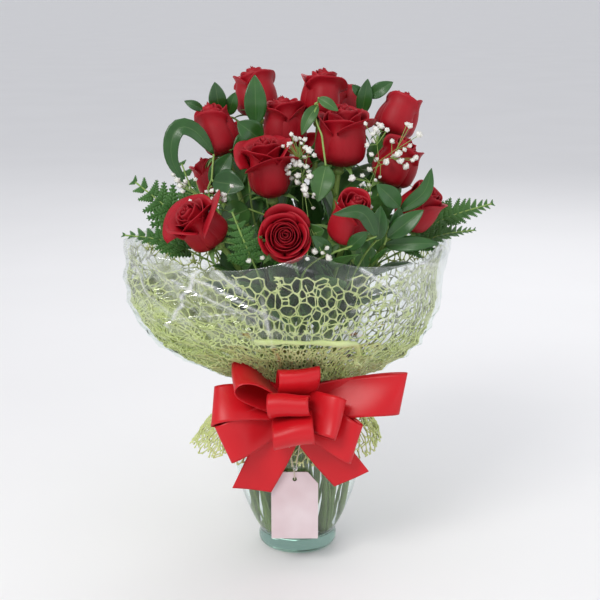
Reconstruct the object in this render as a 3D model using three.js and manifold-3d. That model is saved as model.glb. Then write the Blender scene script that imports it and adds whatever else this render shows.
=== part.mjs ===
// Red roses with greenery in a clear glass vase of water. The vase's neck is
// wrapped in a web of pale green mesh and a sheet of clear film, tied with a
// ribbon that ends in a full bow, and a card tag hangs from the bow on a string.
// Units are millimetres, +Z is up, and the origin is the middle of the vase's foot.
import * as THREE from "three";
import { mergeVertices } from "three/addons/utils/BufferGeometryUtils.js";
import Module from "manifold-3d";

const wasm = await Module();
wasm.setup();

// ---------------------------------------------------------------- driving dimensions
const GAP = 0.35; // clearance between neighbouring pieces
const VASE_HEIGHT = 200;
const VASE_WALL = 3;
const VASE_FOOT_RADIUS = 39.5;
const VASE_FLOOR = 15; // top of the thick glass foot
const VASE_NECK_HEIGHT = 170;
const WATER_LEVEL = 120;
const MESH_THICKNESS = 1;
const FILM_THICKNESS = 0.8;
const RIBBON_WIDTH = 38;
const RIBBON_THICKNESS = 1.2;
const STEM_RADIUS = 2.5;
const BLOOM_FOCUS = new THREE.Vector3(0, 0, 200); // the blooms lean away from this point

const vec = (x, y, z) => new THREE.Vector3(x, y, z);
const polar = (radius, angle, z) =>
  vec(radius * Math.cos(angle), radius * Math.sin(angle), z);
const smooth = (t) => {
  const s = THREE.MathUtils.clamp(t, 0, 1);
  return s * s * (3 - 2 * s);
};

// ---------------------------------------------------------------- solids
function solidFrom(geometry) {
  const loose = geometry.index ? geometry.toNonIndexed() : geometry.clone();
  const bare = new THREE.BufferGeometry();
  bare.setAttribute("position", loose.getAttribute("position"));
  const welded = mergeVertices(bare, 1e-3);
  const solid = new wasm.Manifold(
    new wasm.Mesh({
      numProp: 3,
      vertProperties: welded.attributes.position.array,
      triVerts: new Uint32Array(welded.index.array),
    }),
  );
  if (solid.volume() > 0) return solid;
  const turned = new Uint32Array(welded.index.array);
  for (let i = 0; i < turned.length; i += 3)
    [turned[i + 1], turned[i + 2]] = [turned[i + 2], turned[i + 1]];
  return new wasm.Manifold(
    new wasm.Mesh({
      numProp: 3,
      vertProperties: welded.attributes.position.array,
      triVerts: turned,
    }),
  );
}

function geometryFrom(solid) {
  const mesh = solid.getMesh();
  const points = new Float32Array(mesh.numVert * 3);
  for (let i = 0; i < mesh.numVert; i++)
    points.set(
      mesh.vertProperties.subarray(i * mesh.numProp, i * mesh.numProp + 3),
      i * 3,
    );
  const geometry = new THREE.BufferGeometry();
  geometry.setAttribute("position", new THREE.BufferAttribute(points, 3));
  geometry.setIndex(new THREE.BufferAttribute(mesh.triVerts, 1));
  geometry.computeVertexNormals();
  return geometry;
}

// Merges faces finer than this, which keeps cut pieces light.
const FINEST = 0.08;
const lighter = (solid) => solid.simplify(FINEST);

const joined = (solids) => solids.reduce((all, one) => all.add(one));

// The largest connected body of a solid, which drops slivers that a cut left behind.
function mainBody(solid) {
  const bodies = solid.decompose();
  return bodies.reduce((best, one) =>
    one.volume() > best.volume() ? one : best,
  );
}

function boxesMeet(a, b) {
  const p = a.boundingBox();
  const q = b.boundingBox();
  return [0, 1, 2].every((k) => p.min[k] < q.max[k] && q.min[k] < p.max[k]);
}

// Rings of points, low end to high end, closed with a point at each end.
function skinned(rings, first, last) {
  const sides = rings[0].length;
  const points = [first, ...rings.flat(), last];
  const at = (ring, side) => 1 + ring * sides + (side % sides);
  const faces = [];
  for (let i = 0; i < sides; i++) {
    faces.push(0, at(0, i + 1), at(0, i));
    faces.push(points.length - 1, at(rings.length - 1, i), at(rings.length - 1, i + 1));
    for (let k = 0; k + 1 < rings.length; k++) {
      faces.push(at(k, i), at(k, i + 1), at(k + 1, i));
      faces.push(at(k, i + 1), at(k + 1, i + 1), at(k + 1, i));
    }
  }
  const geometry = new THREE.BufferGeometry().setFromPoints(points);
  geometry.setIndex(faces);
  return geometry;
}

// A tube along a curve.
function tube(curve, radius, sides, steps) {
  const section = new THREE.Shape();
  section.absarc(0, 0, radius, 0, 2 * Math.PI);
  return new THREE.ExtrudeGeometry(section, {
    steps,
    curveSegments: sides,
    extrudePath: curve,
  });
}

const through = (points) =>
  new THREE.CatmullRomCurve3(points, false, "centripetal");

// The axes of a piece that points along `forward`, with `side` across it.
function frameAlong(origin, forward, side) {
  const x = forward.clone().normalize();
  const y = side.clone().addScaledVector(x, -side.dot(x)).normalize();
  const z = x.clone().cross(y);
  return new THREE.Matrix4().makeBasis(x, y, z).setPosition(origin);
}

// ---------------------------------------------------------------- vase and water
// Outer wall from the top of the foot to the rim: a full body, a waist and a flared lip.
const vaseWall = new THREE.SplineCurve([
  new THREE.Vector2(38, 16),
  new THREE.Vector2(46.5, 32),
  new THREE.Vector2(56.5, 58),
  new THREE.Vector2(62.5, 88),
  new THREE.Vector2(62, 118),
  new THREE.Vector2(54, 146),
  new THREE.Vector2(43, VASE_NECK_HEIGHT),
  new THREE.Vector2(45.5, 186),
  new THREE.Vector2(54, VASE_HEIGHT),
]);

const vaseProfile = vaseWall.getPoints(9);

// The wall moved inwards by a distance.
function wallInset(distance) {
  return vaseProfile.map((point, i) => {
    const tangent = vaseWall.getTangent(i / (vaseProfile.length - 1));
    return new THREE.Vector2(
      point.x - tangent.y * distance,
      point.y + tangent.x * distance,
    );
  });
}

const VASE_SEGMENTS = 28;

function turnedSolid(profile) {
  const geometry = new THREE.LatheGeometry(profile, VASE_SEGMENTS);
  return solidFrom(geometry.rotateX(Math.PI / 2));
}

function vaseSolid() {
  const foot = [
    [0, 0],
    [34, 0],
    [38.3, 2.5],
    [VASE_FOOT_RADIUS, 7],
    [38.6, 12.5],
  ].map(([r, z]) => new THREE.Vector2(r, z));
  const inside = wallInset(VASE_WALL);
  inside.at(-1).y = VASE_HEIGHT;
  const floor = [
    new THREE.Vector2(0, VASE_FLOOR),
    new THREE.Vector2(inside[0].x - 3, VASE_FLOOR + 0.6),
  ];
  return turnedSolid([...foot, ...vaseProfile, ...inside.reverse(), ...floor.reverse()]);
}

function waterSolid() {
  const wall = wallInset(VASE_WALL + GAP);
  const over = wall.findIndex((point) => point.y > WATER_LEVEL);
  const [below, above] = [wall[over - 1], wall[over]];
  const brim = below.clone().lerp(above, (WATER_LEVEL - below.y) / (above.y - below.y));
  return turnedSolid([
    new THREE.Vector2(0, VASE_FLOOR + GAP + 0.3),
    new THREE.Vector2(wall[0].x - 3, VASE_FLOOR + GAP + 0.9),
    ...wall.slice(0, over),
    brim,
    new THREE.Vector2(0, WATER_LEVEL),
  ]);
}

// ---------------------------------------------------------------- roses
// Each bloom's middle, widest radius and height. Those that face another way than
// away from the focus say so.
const ROSES = [
  { at: [-41, 45, 450], radius: 23, height: 50 },
  { at: [-76, 5, 418], radius: 21.5, height: 55 },
  { at: [-85, 25, 370], radius: 17, height: 42 },
  { at: [-27, -50, 390], radius: 23, height: 60 },
  { at: [-13, 8, 424], radius: 22.5, height: 52 },
  { at: [-87, -80, 342], radius: 22.5, height: 50, facing: [-0.5, -0.34, 0.62] },
  { at: [-11, -97, 334], radius: 24, height: 42, facing: [0.02, -0.93, 0.36] },
  { at: [23, 25, 450], radius: 22, height: 50 },
  { at: [41, -24, 416], radius: 26, height: 60, facing: [0.08, -0.12, 1] },
  { at: [53, 74, 432], radius: 21, height: 48 },
  { at: [97, 24, 430], radius: 23.5, height: 48 },
  { at: [93, -27, 392], radius: 24.5, height: 50 },
  { at: [48, -90, 351], radius: 21.5, height: 50, facing: [0.22, -0.42, 0.88] },
  { at: [111, -60, 355], radius: 21, height: 48, facing: [0.6, -0.3, 0.74] },
  { at: [-62, 88, 392], radius: 23, height: 50 },
  { at: [20, 104, 378], radius: 23, height: 50 },
];

function roseFrom({ at, radius, height, facing }) {
  const middle = vec(...at);
  const axis = facing
    ? vec(...facing).normalize()
    : middle.clone().sub(BLOOM_FOCUS).normalize();
  const base = middle.clone().addScaledVector(axis, -height / 2);
  return { middle, axis, base, radius, height, straight: STRAIGHT.rose };
}

// Share of the bloom's radius at shares of its height: a cup whose lip turns in
// over the rolled heart.
const BLOOM_PROFILE = [
  [0.06, 0.4],
  [0.26, 0.86],
  [0.55, 1],
  [0.92, 0.98],
  [0.96, 0.7],
  [0.9, 0.45],
];
const PETAL_LOBES = 4;

function bloomSolid(rose, grow) {
  const sides = 12;
  const turn = frameAlong(rose.base, rose.axis, vec(1, 0.3, 0));
  const place = (along, out, angle) =>
    vec(along, out * Math.cos(angle), out * Math.sin(angle)).applyMatrix4(turn);
  const rings = BLOOM_PROFILE.map(([share, wide], level) =>
    Array.from({ length: sides }, (_, i) => {
      const angle = (2 * Math.PI * i) / sides;
      const ruffle = level > 1 ? 0.05 * Math.cos(PETAL_LOBES * angle + level) : 0;
      const out = rose.radius * wide * (1 + ruffle - 0.05) + grow;
      return place(share * rose.height + Math.sign(share - 0.5) * grow, out, angle);
    }),
  );
  return solidFrom(
    skinned(rings, place(-grow, 0, 0), place(rose.height + grow, 0, 0)),
  );
}

// ---------------------------------------------------------------- stems in the vase
// The stems cross the neck in concentric rings, the widest-spread blooms outermost,
// and all lean the same way round, so that none meets another.
const NECK_RINGS = [
  { radius: 33, slots: 14 },
  { radius: 24.5, slots: 10 },
  { radius: 14.5, slots: 6 },
  { radius: 5, slots: 2 },
];
// How far round from the neck each stem stands, and its ring against the neck's.
const FOOT = { twist: 0.7, spread: 0.82, height: VASE_FLOOR + GAP + 1.4 };
const BELLY = { twist: 0.35, spread: 1.14, height: 88 };
const MOUTH = { spread: 1.12, height: VASE_HEIGHT + 4 };
// The straight run under a bloom, and under a sprig's or a frond's first leaves.
const STRAIGHT = { rose: 34, sprig: 30, frond: 24 };

function takeSlots(plants) {
  const byReach = [...plants].sort(
    (a, b) => Math.hypot(b.base.x, b.base.y) - Math.hypot(a.base.x, a.base.y),
  );
  for (const ring of NECK_RINGS) {
    const members = byReach.splice(0, ring.slots);
    const angleOf = (plant) => Math.atan2(plant.base.y, plant.base.x);
    members.sort((a, b) => angleOf(a) - angleOf(b));
    const even = (2 * Math.PI) / members.length;
    const drift =
      members.reduce((sum, plant, i) => sum + angleOf(plant) - i * even, 0) /
      members.length;
    members.forEach((plant, i) => {
      plant.ring = ring.radius;
      plant.angle = i * even + drift;
    });
  }
}

// The line of a stem from the vase's floor, through its place in the neck, to its base.
function stemLine(plant) {
  const { ring, angle, base, axis, straight } = plant;
  const foot = polar(ring * FOOT.spread, angle + FOOT.twist, FOOT.height);
  const belly = polar(ring * BELLY.spread, angle + BELLY.twist, BELLY.height);
  const neck = polar(ring, angle, VASE_NECK_HEIGHT);
  const mouth = polar(ring * MOUTH.spread, angle, MOUTH.height);
  const under = base.clone().addScaledVector(axis, -straight);
  const between = mouth.clone().lerp(under, 0.5);
  return [foot, belly, neck, mouth, between, under, base];
}

const STALK_STEPS = 10;
// The swollen hip under a bloom, as rings along its axis with their radii.
const HIP = [
  [-11, 3.2],
  [-4, 5.6],
  [-1.2, 4.4],
];
const HIP_TAIL = -15;
const HIP_TIP = -0.8;
const HIP_SIDES = 6;

function stemSolid(plant, grow) {
  const line = stemLine(plant);
  const end = line.pop();
  line.push(end.clone().addScaledVector(plant.axis, grow - GAP - 0.2));
  const shaft = solidFrom(tube(through(line), STEM_RADIUS + grow, 3, STALK_STEPS));
  const turn = frameAlong(end, plant.axis, vec(1, 0.3, 0));
  const hip = HIP.map(([along, out]) =>
    Array.from({ length: HIP_SIDES }, (_, i) => {
      const angle = (2 * Math.PI * i) / HIP_SIDES;
      const wide = out + grow;
      return vec(along, wide * Math.cos(angle), wide * Math.sin(angle)).applyMatrix4(turn);
    }),
  );
  const tip = vec(HIP_TIP + grow, 0, 0).applyMatrix4(turn);
  const tail = vec(HIP_TAIL - grow, 0, 0).applyMatrix4(turn);
  return shaft.add(solidFrom(skinned(hip, tail, tip)));
}

// ---------------------------------------------------------------- greenery
// A flat leaf or frond blade in its own plane, from its outline.
function blade(outline, thickness, grow) {
  const shape = new THREE.Shape(outline.map(([x, y]) => new THREE.Vector2(x, y)));
  const depth = thickness + 2 * grow;
  return new THREE.ExtrudeGeometry(shape, { depth, bevelEnabled: false }).translate(
    0,
    0,
    -depth / 2,
  );
}

function leafOutline(length, width, grow) {
  const half = width / 2 + grow;
  const end = length + grow;
  return [
    [0, -0.8 - grow],
    [0.35 * end, -half],
    [0.75 * end, -half * 0.62],
    [end, 0],
    [0.75 * end, half * 0.62],
    [0.35 * end, half],
    [0, 0.8 + grow],
  ];
}

// A triangular frond cut into pointed side leaflets.
const FROND = { teeth: 5, foot: 0.02, lean: 0.11, run: 0.94, valley: 0.24, vein: 1.2 };

function frondOutline(length, width, grow) {
  const { teeth, foot, lean, run, valley, vein } = FROND;
  const edge = [];
  for (let i = 0; i < teeth; i++) {
    const t = i / teeth;
    const reach = (width / 2) * (1 - t) ** 0.8 + grow;
    edge.push([length * (t * run + foot), valley * reach + vein]);
    edge.push([length * (t * run + foot + lean), reach]);
  }
  const tip = [length + grow, 0];
  const low = edge.map(([x, y]) => [x, -y]);
  return [...low, tip, ...edge.reverse()];
}

// Sprigs with alternate pointed leaves: where the leaves begin, the tip, which way
// the flat of the sprig faces, how many leaves, and a leaf's length and width.
const RUSCUS = [
  { base: [-84, -20, 360], tip: [-121, -6, 418], face: [-0.2, -1, 0.1], leaves: 5, leaf: [48, 17] },
  { base: [-44, 6, 418], tip: [-32, 9, 471], face: [0.1, -1, 0.15], leaves: 3, leaf: [44, 19] },
  { base: [-56, 24, 424], tip: [-82, 37, 459], face: [0.2, -1, 0.1], leaves: 4, leaf: [30, 14] },
  { base: [64, 30, 424], tip: [76, 42, 464], face: [-0.1, -1, 0.1], leaves: 4, leaf: [32, 14] },
  { base: [78, -68, 332], tip: [122, -88, 388], face: [0.1, -1, 0.3], leaves: 6, leaf: [42, 15] },
  { base: [22, -92, 316], tip: [60, -126, 356], face: [0.1, -1, 0.6], leaves: 5, leaf: [36, 14] },
];
// Fronds: where each one begins, its tip, which way its flat faces, and its width.
const FERNS = [
  { base: [-96, -14, 322], tip: [-152, -20, 372], face: [-0.4, -0.7, 0.7], width: 62 },
  { base: [-102, -44, 312], tip: [-160, -44, 326], face: [-0.2, -0.5, 1], width: 44 },
  { base: [112, -4, 318], tip: [184, -12, 350], face: [-0.2, -0.7, 0.8], width: 58 },
  { base: [104, -34, 312], tip: [164, -40, 330], face: [0.1, -0.5, 1], width: 44 },
  { base: [-40, -96, 314], tip: [-56, -120, 362], face: [-0.1, -1, 0.4], width: 38 },
  { base: [-88, 46, 306], tip: [-118, 84, 374], face: [-0.3, 1, 0.3], width: 62 },
  { base: [54, 76, 300], tip: [88, 112, 368], face: [0.3, 1, 0.3], width: 62 },
];
// Sprays of small flowers: where each begins to branch, its tip and its flowers.
const GYPSOPHILA = [
  { base: [4, -58, 388], tip: [3, -64, 418], puffs: 7 },
  { base: [74, -52, 396], tip: [82, -58, 426], puffs: 6 },
  { base: [-60, -52, 350], tip: [-72, -60, 374], puffs: 5 },
];

function sprigFrom(spec, straight) {
  const tip = vec(...spec.tip);
  const base = vec(...spec.base);
  const axis = tip.clone().sub(base);
  const length = axis.length();
  return { ...spec, tip, base, length, axis: axis.normalize(), straight };
}

const THIN = { ruscus: 1.3, fern: 1.4, gypsophila: 0.9 }; // stalk radii
const LEAF_LEAN = 0.7; // how far side leaves turn from the stalk, in radians

function thinStalk(sprig, radius, grow) {
  const line = stemLine(sprig);
  line.push(sprig.base.clone().addScaledVector(sprig.axis, 5));
  return solidFrom(tube(through(line), radius + grow, 2, STALK_STEPS));
}

const ruscusStalk = (sprig, grow) => thinStalk(sprig, THIN.ruscus, grow);

function ruscusLeaves(sprig, grow) {
  const [length, width] = sprig.leaf;
  const face = vec(...sprig.face).normalize();
  const stop = Math.max(0.1, 1 - (0.8 * length) / sprig.length);
  const leafAt = (share, lean) => {
    const root = sprig.base.clone().lerp(sprig.tip, share);
    const out = sprig.axis.clone().applyAxisAngle(face, lean);
    const place = frameAlong(root, out, face.clone().cross(out));
    const shape = blade(leafOutline(length, width, grow), 1, grow);
    return solidFrom(shape.applyMatrix4(place));
  };
  const twig = new THREE.LineCurve3(
    sprig.base,
    sprig.base.clone().lerp(sprig.tip, stop + 0.06),
  );
  const leaves = [solidFrom(tube(twig, THIN.ruscus + grow, 2, 1)), leafAt(stop, 0)];
  for (let i = 0; i < sprig.leaves - 1; i++)
    leaves.push(leafAt((i * stop) / (sprig.leaves - 1), i % 2 ? LEAF_LEAN : -LEAF_LEAN));
  return joined(leaves);
}

const fernStalk = (fern, grow) => thinStalk(fern, THIN.fern, grow);

function fernFrond(fern, grow) {
  const face = vec(...fern.face).normalize();
  const place = frameAlong(fern.base, fern.axis, face.cross(fern.axis));
  const outline = frondOutline(fern.length, fern.width, grow);
  return solidFrom(blade(outline, 1, grow).applyMatrix4(place));
}

const gypsophilaStalk = (gypsophila, grow) => thinStalk(gypsophila, THIN.gypsophila, grow);

// A spray of small round flowers on fine twigs.
const PUFF_RADIUS = 3.2;
const TWIG_RADIUS = 0.6;
const TWIG_REACH = [8, 14]; // at the spray's tip and at its foot
const GOLDEN_TURN = 2.4;

function gypsophilaSpray(gypsophila, grow) {
  const stalk = new THREE.LineCurve3(gypsophila.base, gypsophila.tip);
  const pieces = [solidFrom(tube(stalk, THIN.gypsophila + grow, 2, 1))];
  for (let i = 0; i < gypsophila.puffs; i++) {
    const share = i / gypsophila.puffs;
    const root = gypsophila.tip.clone().lerp(gypsophila.base, share);
    const side = polar(1, i * GOLDEN_TURN, 0.6).normalize();
    const end = root.clone().addScaledVector(side, THREE.MathUtils.lerp(...TWIG_REACH, share));
    const twig = new THREE.LineCurve3(root, end);
    pieces.push(solidFrom(tube(twig, TWIG_RADIUS + grow, 2, 1)));
    const puff = new THREE.OctahedronGeometry(PUFF_RADIUS + grow, 0);
    pieces.push(solidFrom(puff.translate(...end.toArray())));
  }
  return joined(pieces);
}

// ---------------------------------------------------------------- wrapping
// The wrap's inner radius at heights up the vase and bouquet, to the left (-X),
// front (-Y), right (+X) and back (+Y). It hugs the vase's neck, spreads in a skirt
// below the ribbon, and above it bellies out, furthest to the left.
const WRAP_HEIGHTS = [104, 122, 142, 157, 163, 177, 190, 205, 220, 236, 256, 280, 306, 320];
const WRAP_SIDES = {
  left: [106, 92, 68, 51, 48, 47, 88, 119, 138, 150, 160, 164, 161, 161],
  front: [64.5, 64.5, 60, 50.5, 48, 47, 55, 63, 80, 102, 113, 121, 126, 128],
  right: [82, 77, 64, 51, 48, 47, 84, 108, 120, 128, 134, 133, 138, 150],
  back: [79, 74, 62, 51, 48, 47, 66, 84, 96, 106, 114, 120, 124, 126],
};
const MESH_LEVELS = [0, 12];
const FILM_LEVELS = [3, 13]; // the film starts higher than the mesh and stands above it
const ALL_LEVELS = [0, 13];
const WRAP_TURNS = 22;

function wrapRadius(angle, level) {
  const across = Math.cos(angle);
  const deep = Math.sin(angle);
  const { left, front, right, back } = WRAP_SIDES;
  const x = across < 0 ? left[level] : right[level];
  const y = deep < 0 ? front[level] : back[level];
  return x * across * across + y * deep * deep;
}

// A closed sleeve between two offsets of the wrap, or with no inner offset a solid plug.
function sleeve([from, to], inner, outer) {
  const levels = WRAP_HEIGHTS.map((_, level) => level).slice(from, to + 1);
  const ring = (level, offset) =>
    Array.from({ length: WRAP_TURNS }, (_, i) => {
      const angle = (2 * Math.PI * i) / WRAP_TURNS;
      return polar(wrapRadius(angle, level) + offset, angle, WRAP_HEIGHTS[level]);
    });
  const outside = levels.map((level) => ring(level, outer));
  if (inner === null) {
    const middle = (level) => vec(0, 0, WRAP_HEIGHTS[level]);
    return solidFrom(skinned(outside, middle(from), middle(to)));
  }
  const inside = levels.map((level) => ring(level, inner));
  const loops = [...outside, ...inside.reverse()];
  const at = (loop, i) => (loop % loops.length) * WRAP_TURNS + (i % WRAP_TURNS);
  const faces = [];
  for (let k = 0; k < loops.length; k++)
    for (let i = 0; i < WRAP_TURNS; i++) {
      const [a, b, c, d] = [at(k, i), at(k, i + 1), at(k + 1, i), at(k + 1, i + 1)];
      faces.push(...(k < levels.length ? [a, b, c, b, d, c] : [a, b, d, a, d, c]));
    }
  const geometry = new THREE.BufferGeometry().setFromPoints(loops.flat());
  geometry.setIndex(faces);
  return solidFrom(geometry);
}

const FILM_CLEARANCE = 0.8; // between the mesh and the film
const FILM_INSIDE = MESH_THICKNESS + FILM_CLEARANCE;
const FILM_OUTSIDE = FILM_INSIDE + FILM_THICKNESS;

// ---------------------------------------------------------------- ribbon
const TIE_INSIDE = 51;
const TIE_HEIGHT = 12;
const KNOT = vec(-4, -60, 166);
const KNOT_RADIUS = 8;
// Each loop's far end, which way its ribbon lies across, and its depth from
// strand to strand.
const LOOPS = [
  { end: [2, -88, 208], across: [1, 0.1, 0.08], depth: 15 },
  { end: [-58, -84, 203], across: [-0.35, 0.75, 0.55], depth: 17 },
  { end: [-79, -74, 169], across: [0.25, 0.55, 0.8], depth: 18 },
  { end: [-69, -88, 136], across: [-0.38, 0.1, 0.92], depth: 13 },
  { end: [-9, -104, 180], across: [1, 0, 0.06], depth: 20 },
  { end: [39, -99, 165], across: [0.55, 0.2, 0.8], depth: 16 },
  { end: [-3, -108, 146], across: [1, 0, 0.08], depth: 22 },
  { end: [55, -88, 136], across: [0.55, -0.1, 0.83], depth: 13 },
  { end: [99, -72, 181], across: [0, 0.12, 1], depth: 15 },
];
const TAILS = [
  { end: [-43, -78, 86], across: [0.8, 0, -0.55] },
  { end: [51, -76, 96], across: [0.6, 0.1, 0.75] },
];

const GATHER = { share: 0.3, reach: 26 };
const LOOP_STEPS = 10;
const TAIL_SWAY = 3;

// How wide the ribbon is this far from the knot: gathered there, full width beyond.
const ribbonShare = (distance) =>
  GATHER.share + (1 - GATHER.share) * smooth(distance / GATHER.reach);

// A strip bent along points of its own plane, with its width across the plane.
function ribbonStrip(points, place) {
  const half = RIBBON_THICKNESS / 2;
  const curve = new THREE.SplineCurve(points.map(([x, y]) => new THREE.Vector2(x, y)));
  const count = points.length - 1;
  const side = (sign) =>
    points.map((_, i) => {
      const at = curve.getPoint(i / count);
      const t = curve.getTangent(i / count);
      return new THREE.Vector2(at.x - sign * half * t.y, at.y + sign * half * t.x);
    });
  const outline = new THREE.Shape([...side(1), ...side(-1).reverse()]);
  const geometry = new THREE.ExtrudeGeometry(outline, {
    depth: RIBBON_WIDTH,
    bevelEnabled: false,
  }).translate(0, 0, -RIBBON_WIDTH / 2);
  const position = geometry.getAttribute("position");
  for (let i = 0; i < position.count; i++)
    position.setZ(i, position.getZ(i) * ribbonShare(position.getX(i)));
  return solidFrom(geometry.applyMatrix4(place));
}

function loopSolid({ end, across, depth }) {
  const reach = vec(...end).sub(KNOT);
  const length = reach.length();
  const place = frameAlong(KNOT, reach, reach.clone().cross(vec(...across)));
  const points = [];
  for (let i = 1; i < LOOP_STEPS; i++) {
    const t = (2 * Math.PI * i) / LOOP_STEPS;
    const out = Math.sin(t / 2);
    points.push([length * out ** 1.3, depth * 0.62 * Math.sin(t) * out]);
  }
  return ribbonStrip(points, place);
}

function tailSolid({ end, across }) {
  const reach = vec(...end).sub(KNOT);
  const length = reach.length();
  const place = frameAlong(KNOT, reach, reach.clone().cross(vec(...across)));
  const points = [0.04, 0.3, 0.6, 0.8, 1].map((t) => [
    length * t,
    TAIL_SWAY * Math.sin(Math.PI * t),
  ]);
  return ribbonStrip(points, place);
}

function bowSolid() {
  const knot = new THREE.IcosahedronGeometry(KNOT_RADIUS, 0);
  const whole = joined([
    solidFrom(knot.translate(...KNOT.toArray())),
    ...LOOPS.map(loopSolid),
    ...TAILS.map(tailSolid),
  ]);
  const wrapped = sleeve(ALL_LEVELS, null, FILM_OUTSIDE + GAP);
  const cut = whole.subtract(wrapped).subtract(tieSolid(GAP)).subtract(stringSolid(GAP));
  return lighter(mainBody(cut));
}

function tieSolid(grow) {
  const [low, high] = [-1, 1].map((s) => VASE_NECK_HEIGHT + s * (TIE_HEIGHT / 2 + grow));
  const inner = TIE_INSIDE - grow;
  const outer = TIE_INSIDE + RIBBON_THICKNESS + grow;
  const profile = [
    [inner, low],
    [outer, low],
    [outer, high],
    [inner, high],
    [inner, low],
  ].map(([r, z]) => new THREE.Vector2(r, z));
  return turnedSolid(profile);
}

// ---------------------------------------------------------------- tag and its string
const TAG = { width: 45, height: 69, thickness: 0.8, corner: 10, hole: 2.2 };
const TAG_TOP = vec(-2.6, -66.4, 100);
const STRING_RADIUS = 0.55;
const HOLE_DROP = 7.5; // from the tag's top edge to the middle of its hole
const STRING_STEPS = 32;
const BEAD = { middle: vec(-2.2, -69.2, 104.9), radius: 3 };
const STRING_ROUTE = [
  [-11, -71, 153],
  [-9.5, -72, 140],
  [-7, -72, 124],
  [-4.6, -70.6, 110],
  [-3.4, -69.6, 104],
  [-2.9, -68.8, 98],
  [-2.6, -68.2, 94.6],
  [-2.6, -67.2, 92.7],
  [-2.6, -65.9, 92.3],
  [-2.6, -65, 93.4],
  [-2.5, -64.9, 96.5],
  [-2.2, -65, 99.6],
  [-1.6, -66.6, 102.2],
  [-1.2, -69.4, 106],
  [-0.4, -70.8, 112],
  [1.6, -72, 126],
  [3.4, -72, 140],
  [4.4, -71, 153],
];

function tagSolid() {
  const { width, height, thickness, corner, hole } = TAG;
  const half = width / 2;
  const card = new THREE.Shape([
    new THREE.Vector2(-half, -height),
    new THREE.Vector2(half, -height),
    new THREE.Vector2(half, -corner * 1.2),
    new THREE.Vector2(half - corner, 0),
    new THREE.Vector2(corner - half, 0),
    new THREE.Vector2(-half, -corner * 1.2),
  ]);
  const eye = new THREE.Path();
  eye.absarc(0, -HOLE_DROP, hole, 0, 2 * Math.PI, true);
  card.holes.push(eye);
  const geometry = new THREE.ExtrudeGeometry(card, {
    depth: thickness,
    curveSegments: 5,
    bevelEnabled: false,
  });
  geometry.rotateX(Math.PI / 2);
  return solidFrom(geometry.translate(TAG_TOP.x, TAG_TOP.y + thickness / 2, TAG_TOP.z));
}

function stringSolid(grow) {
  const curve = through(STRING_ROUTE.map((p) => vec(...p)));
  return solidFrom(tube(curve, STRING_RADIUS + grow, 4, STRING_STEPS));
}

// The small bead that holds the two strands together above the tag.
function beadSolid() {
  const bead = new THREE.IcosahedronGeometry(BEAD.radius, 0);
  const around = solidFrom(bead.translate(...BEAD.middle.toArray()));
  return mainBody(around.subtract(stringSolid(GAP * 0.6)));
}

// ---------------------------------------------------------------- the object
const COLOURS = {
  glass: { color: 0xdfeee8, roughness: 0.05, metalness: 0, opacity: 0.35, transparent: true },
  water: { color: 0xdcebe6, roughness: 0.02, metalness: 0, opacity: 0.3, transparent: true },
  petal: { color: 0xb3101f, roughness: 0.55, metalness: 0 },
  stem: { color: 0x4c7a34, roughness: 0.6, metalness: 0 },
  ruscus: { color: 0x23582a, roughness: 0.35, metalness: 0 },
  fern: { color: 0x3c7a38, roughness: 0.55, metalness: 0 },
  gypsophila: { color: 0xf2f1e6, roughness: 0.8, metalness: 0 },
  mesh: { color: 0xd3de96, roughness: 0.8, metalness: 0 },
  film: { color: 0xf4f8f8, roughness: 0.08, metalness: 0, opacity: 0.25, transparent: true },
  ribbon: { color: 0xc9141f, roughness: 0.4, metalness: 0 },
  card: { color: 0xe9d6da, roughness: 0.7, metalness: 0 },
  string: { color: 0xe3d3b8, roughness: 0.8, metalness: 0 },
};

const group = new THREE.Group();
const materials = Object.fromEntries(
  Object.entries(COLOURS).map(([name, look]) => [
    name,
    new THREE.MeshStandardMaterial(look),
  ]),
);

function add(name, solid, material) {
  const mesh = new THREE.Mesh(geometryFrom(solid), materials[material]);
  mesh.name = name;
  group.add(mesh);
}

const numbered = (name, i) => `${name}_${String(i + 1).padStart(2, "0")}`;

const roses = ROSES.map(roseFrom);
const sprigs = RUSCUS.map((spec) => sprigFrom(spec, STRAIGHT.sprig));
const fronds = FERNS.map((spec) => sprigFrom(spec, STRAIGHT.frond));
const gypsophilas = GYPSOPHILA.map((spec) => sprigFrom(spec, STRAIGHT.sprig));
takeSlots([...roses, ...sprigs, ...fronds, ...gypsophilas]);

// Everything placed so far, a little swollen, for later pieces to be cut clear of.
const placed = [];
const near = (solid) => placed.filter((other) => boxesMeet(solid, other));
const cutClear = (solid) =>
  lighter(mainBody(near(solid).reduce((left, other) => left.subtract(other), solid)));

// A stalk may lean a little further round the neck, to pass between the others.
const SWAYS = [0, 0.08, -0.08, 0.16, -0.16, 0.24, -0.24, 0.32, -0.32];

function settle(plant, stalk) {
  const home = plant.angle;
  const clashAt = (sway) => {
    plant.angle = home + sway;
    const solid = stalk(plant, 0);
    return near(solid).reduce((sum, one) => sum + solid.intersect(one).volume(), 0);
  };
  const clashes = SWAYS.map(clashAt);
  plant.angle = home + SWAYS[clashes.indexOf(Math.min(...clashes))];
}

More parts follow.
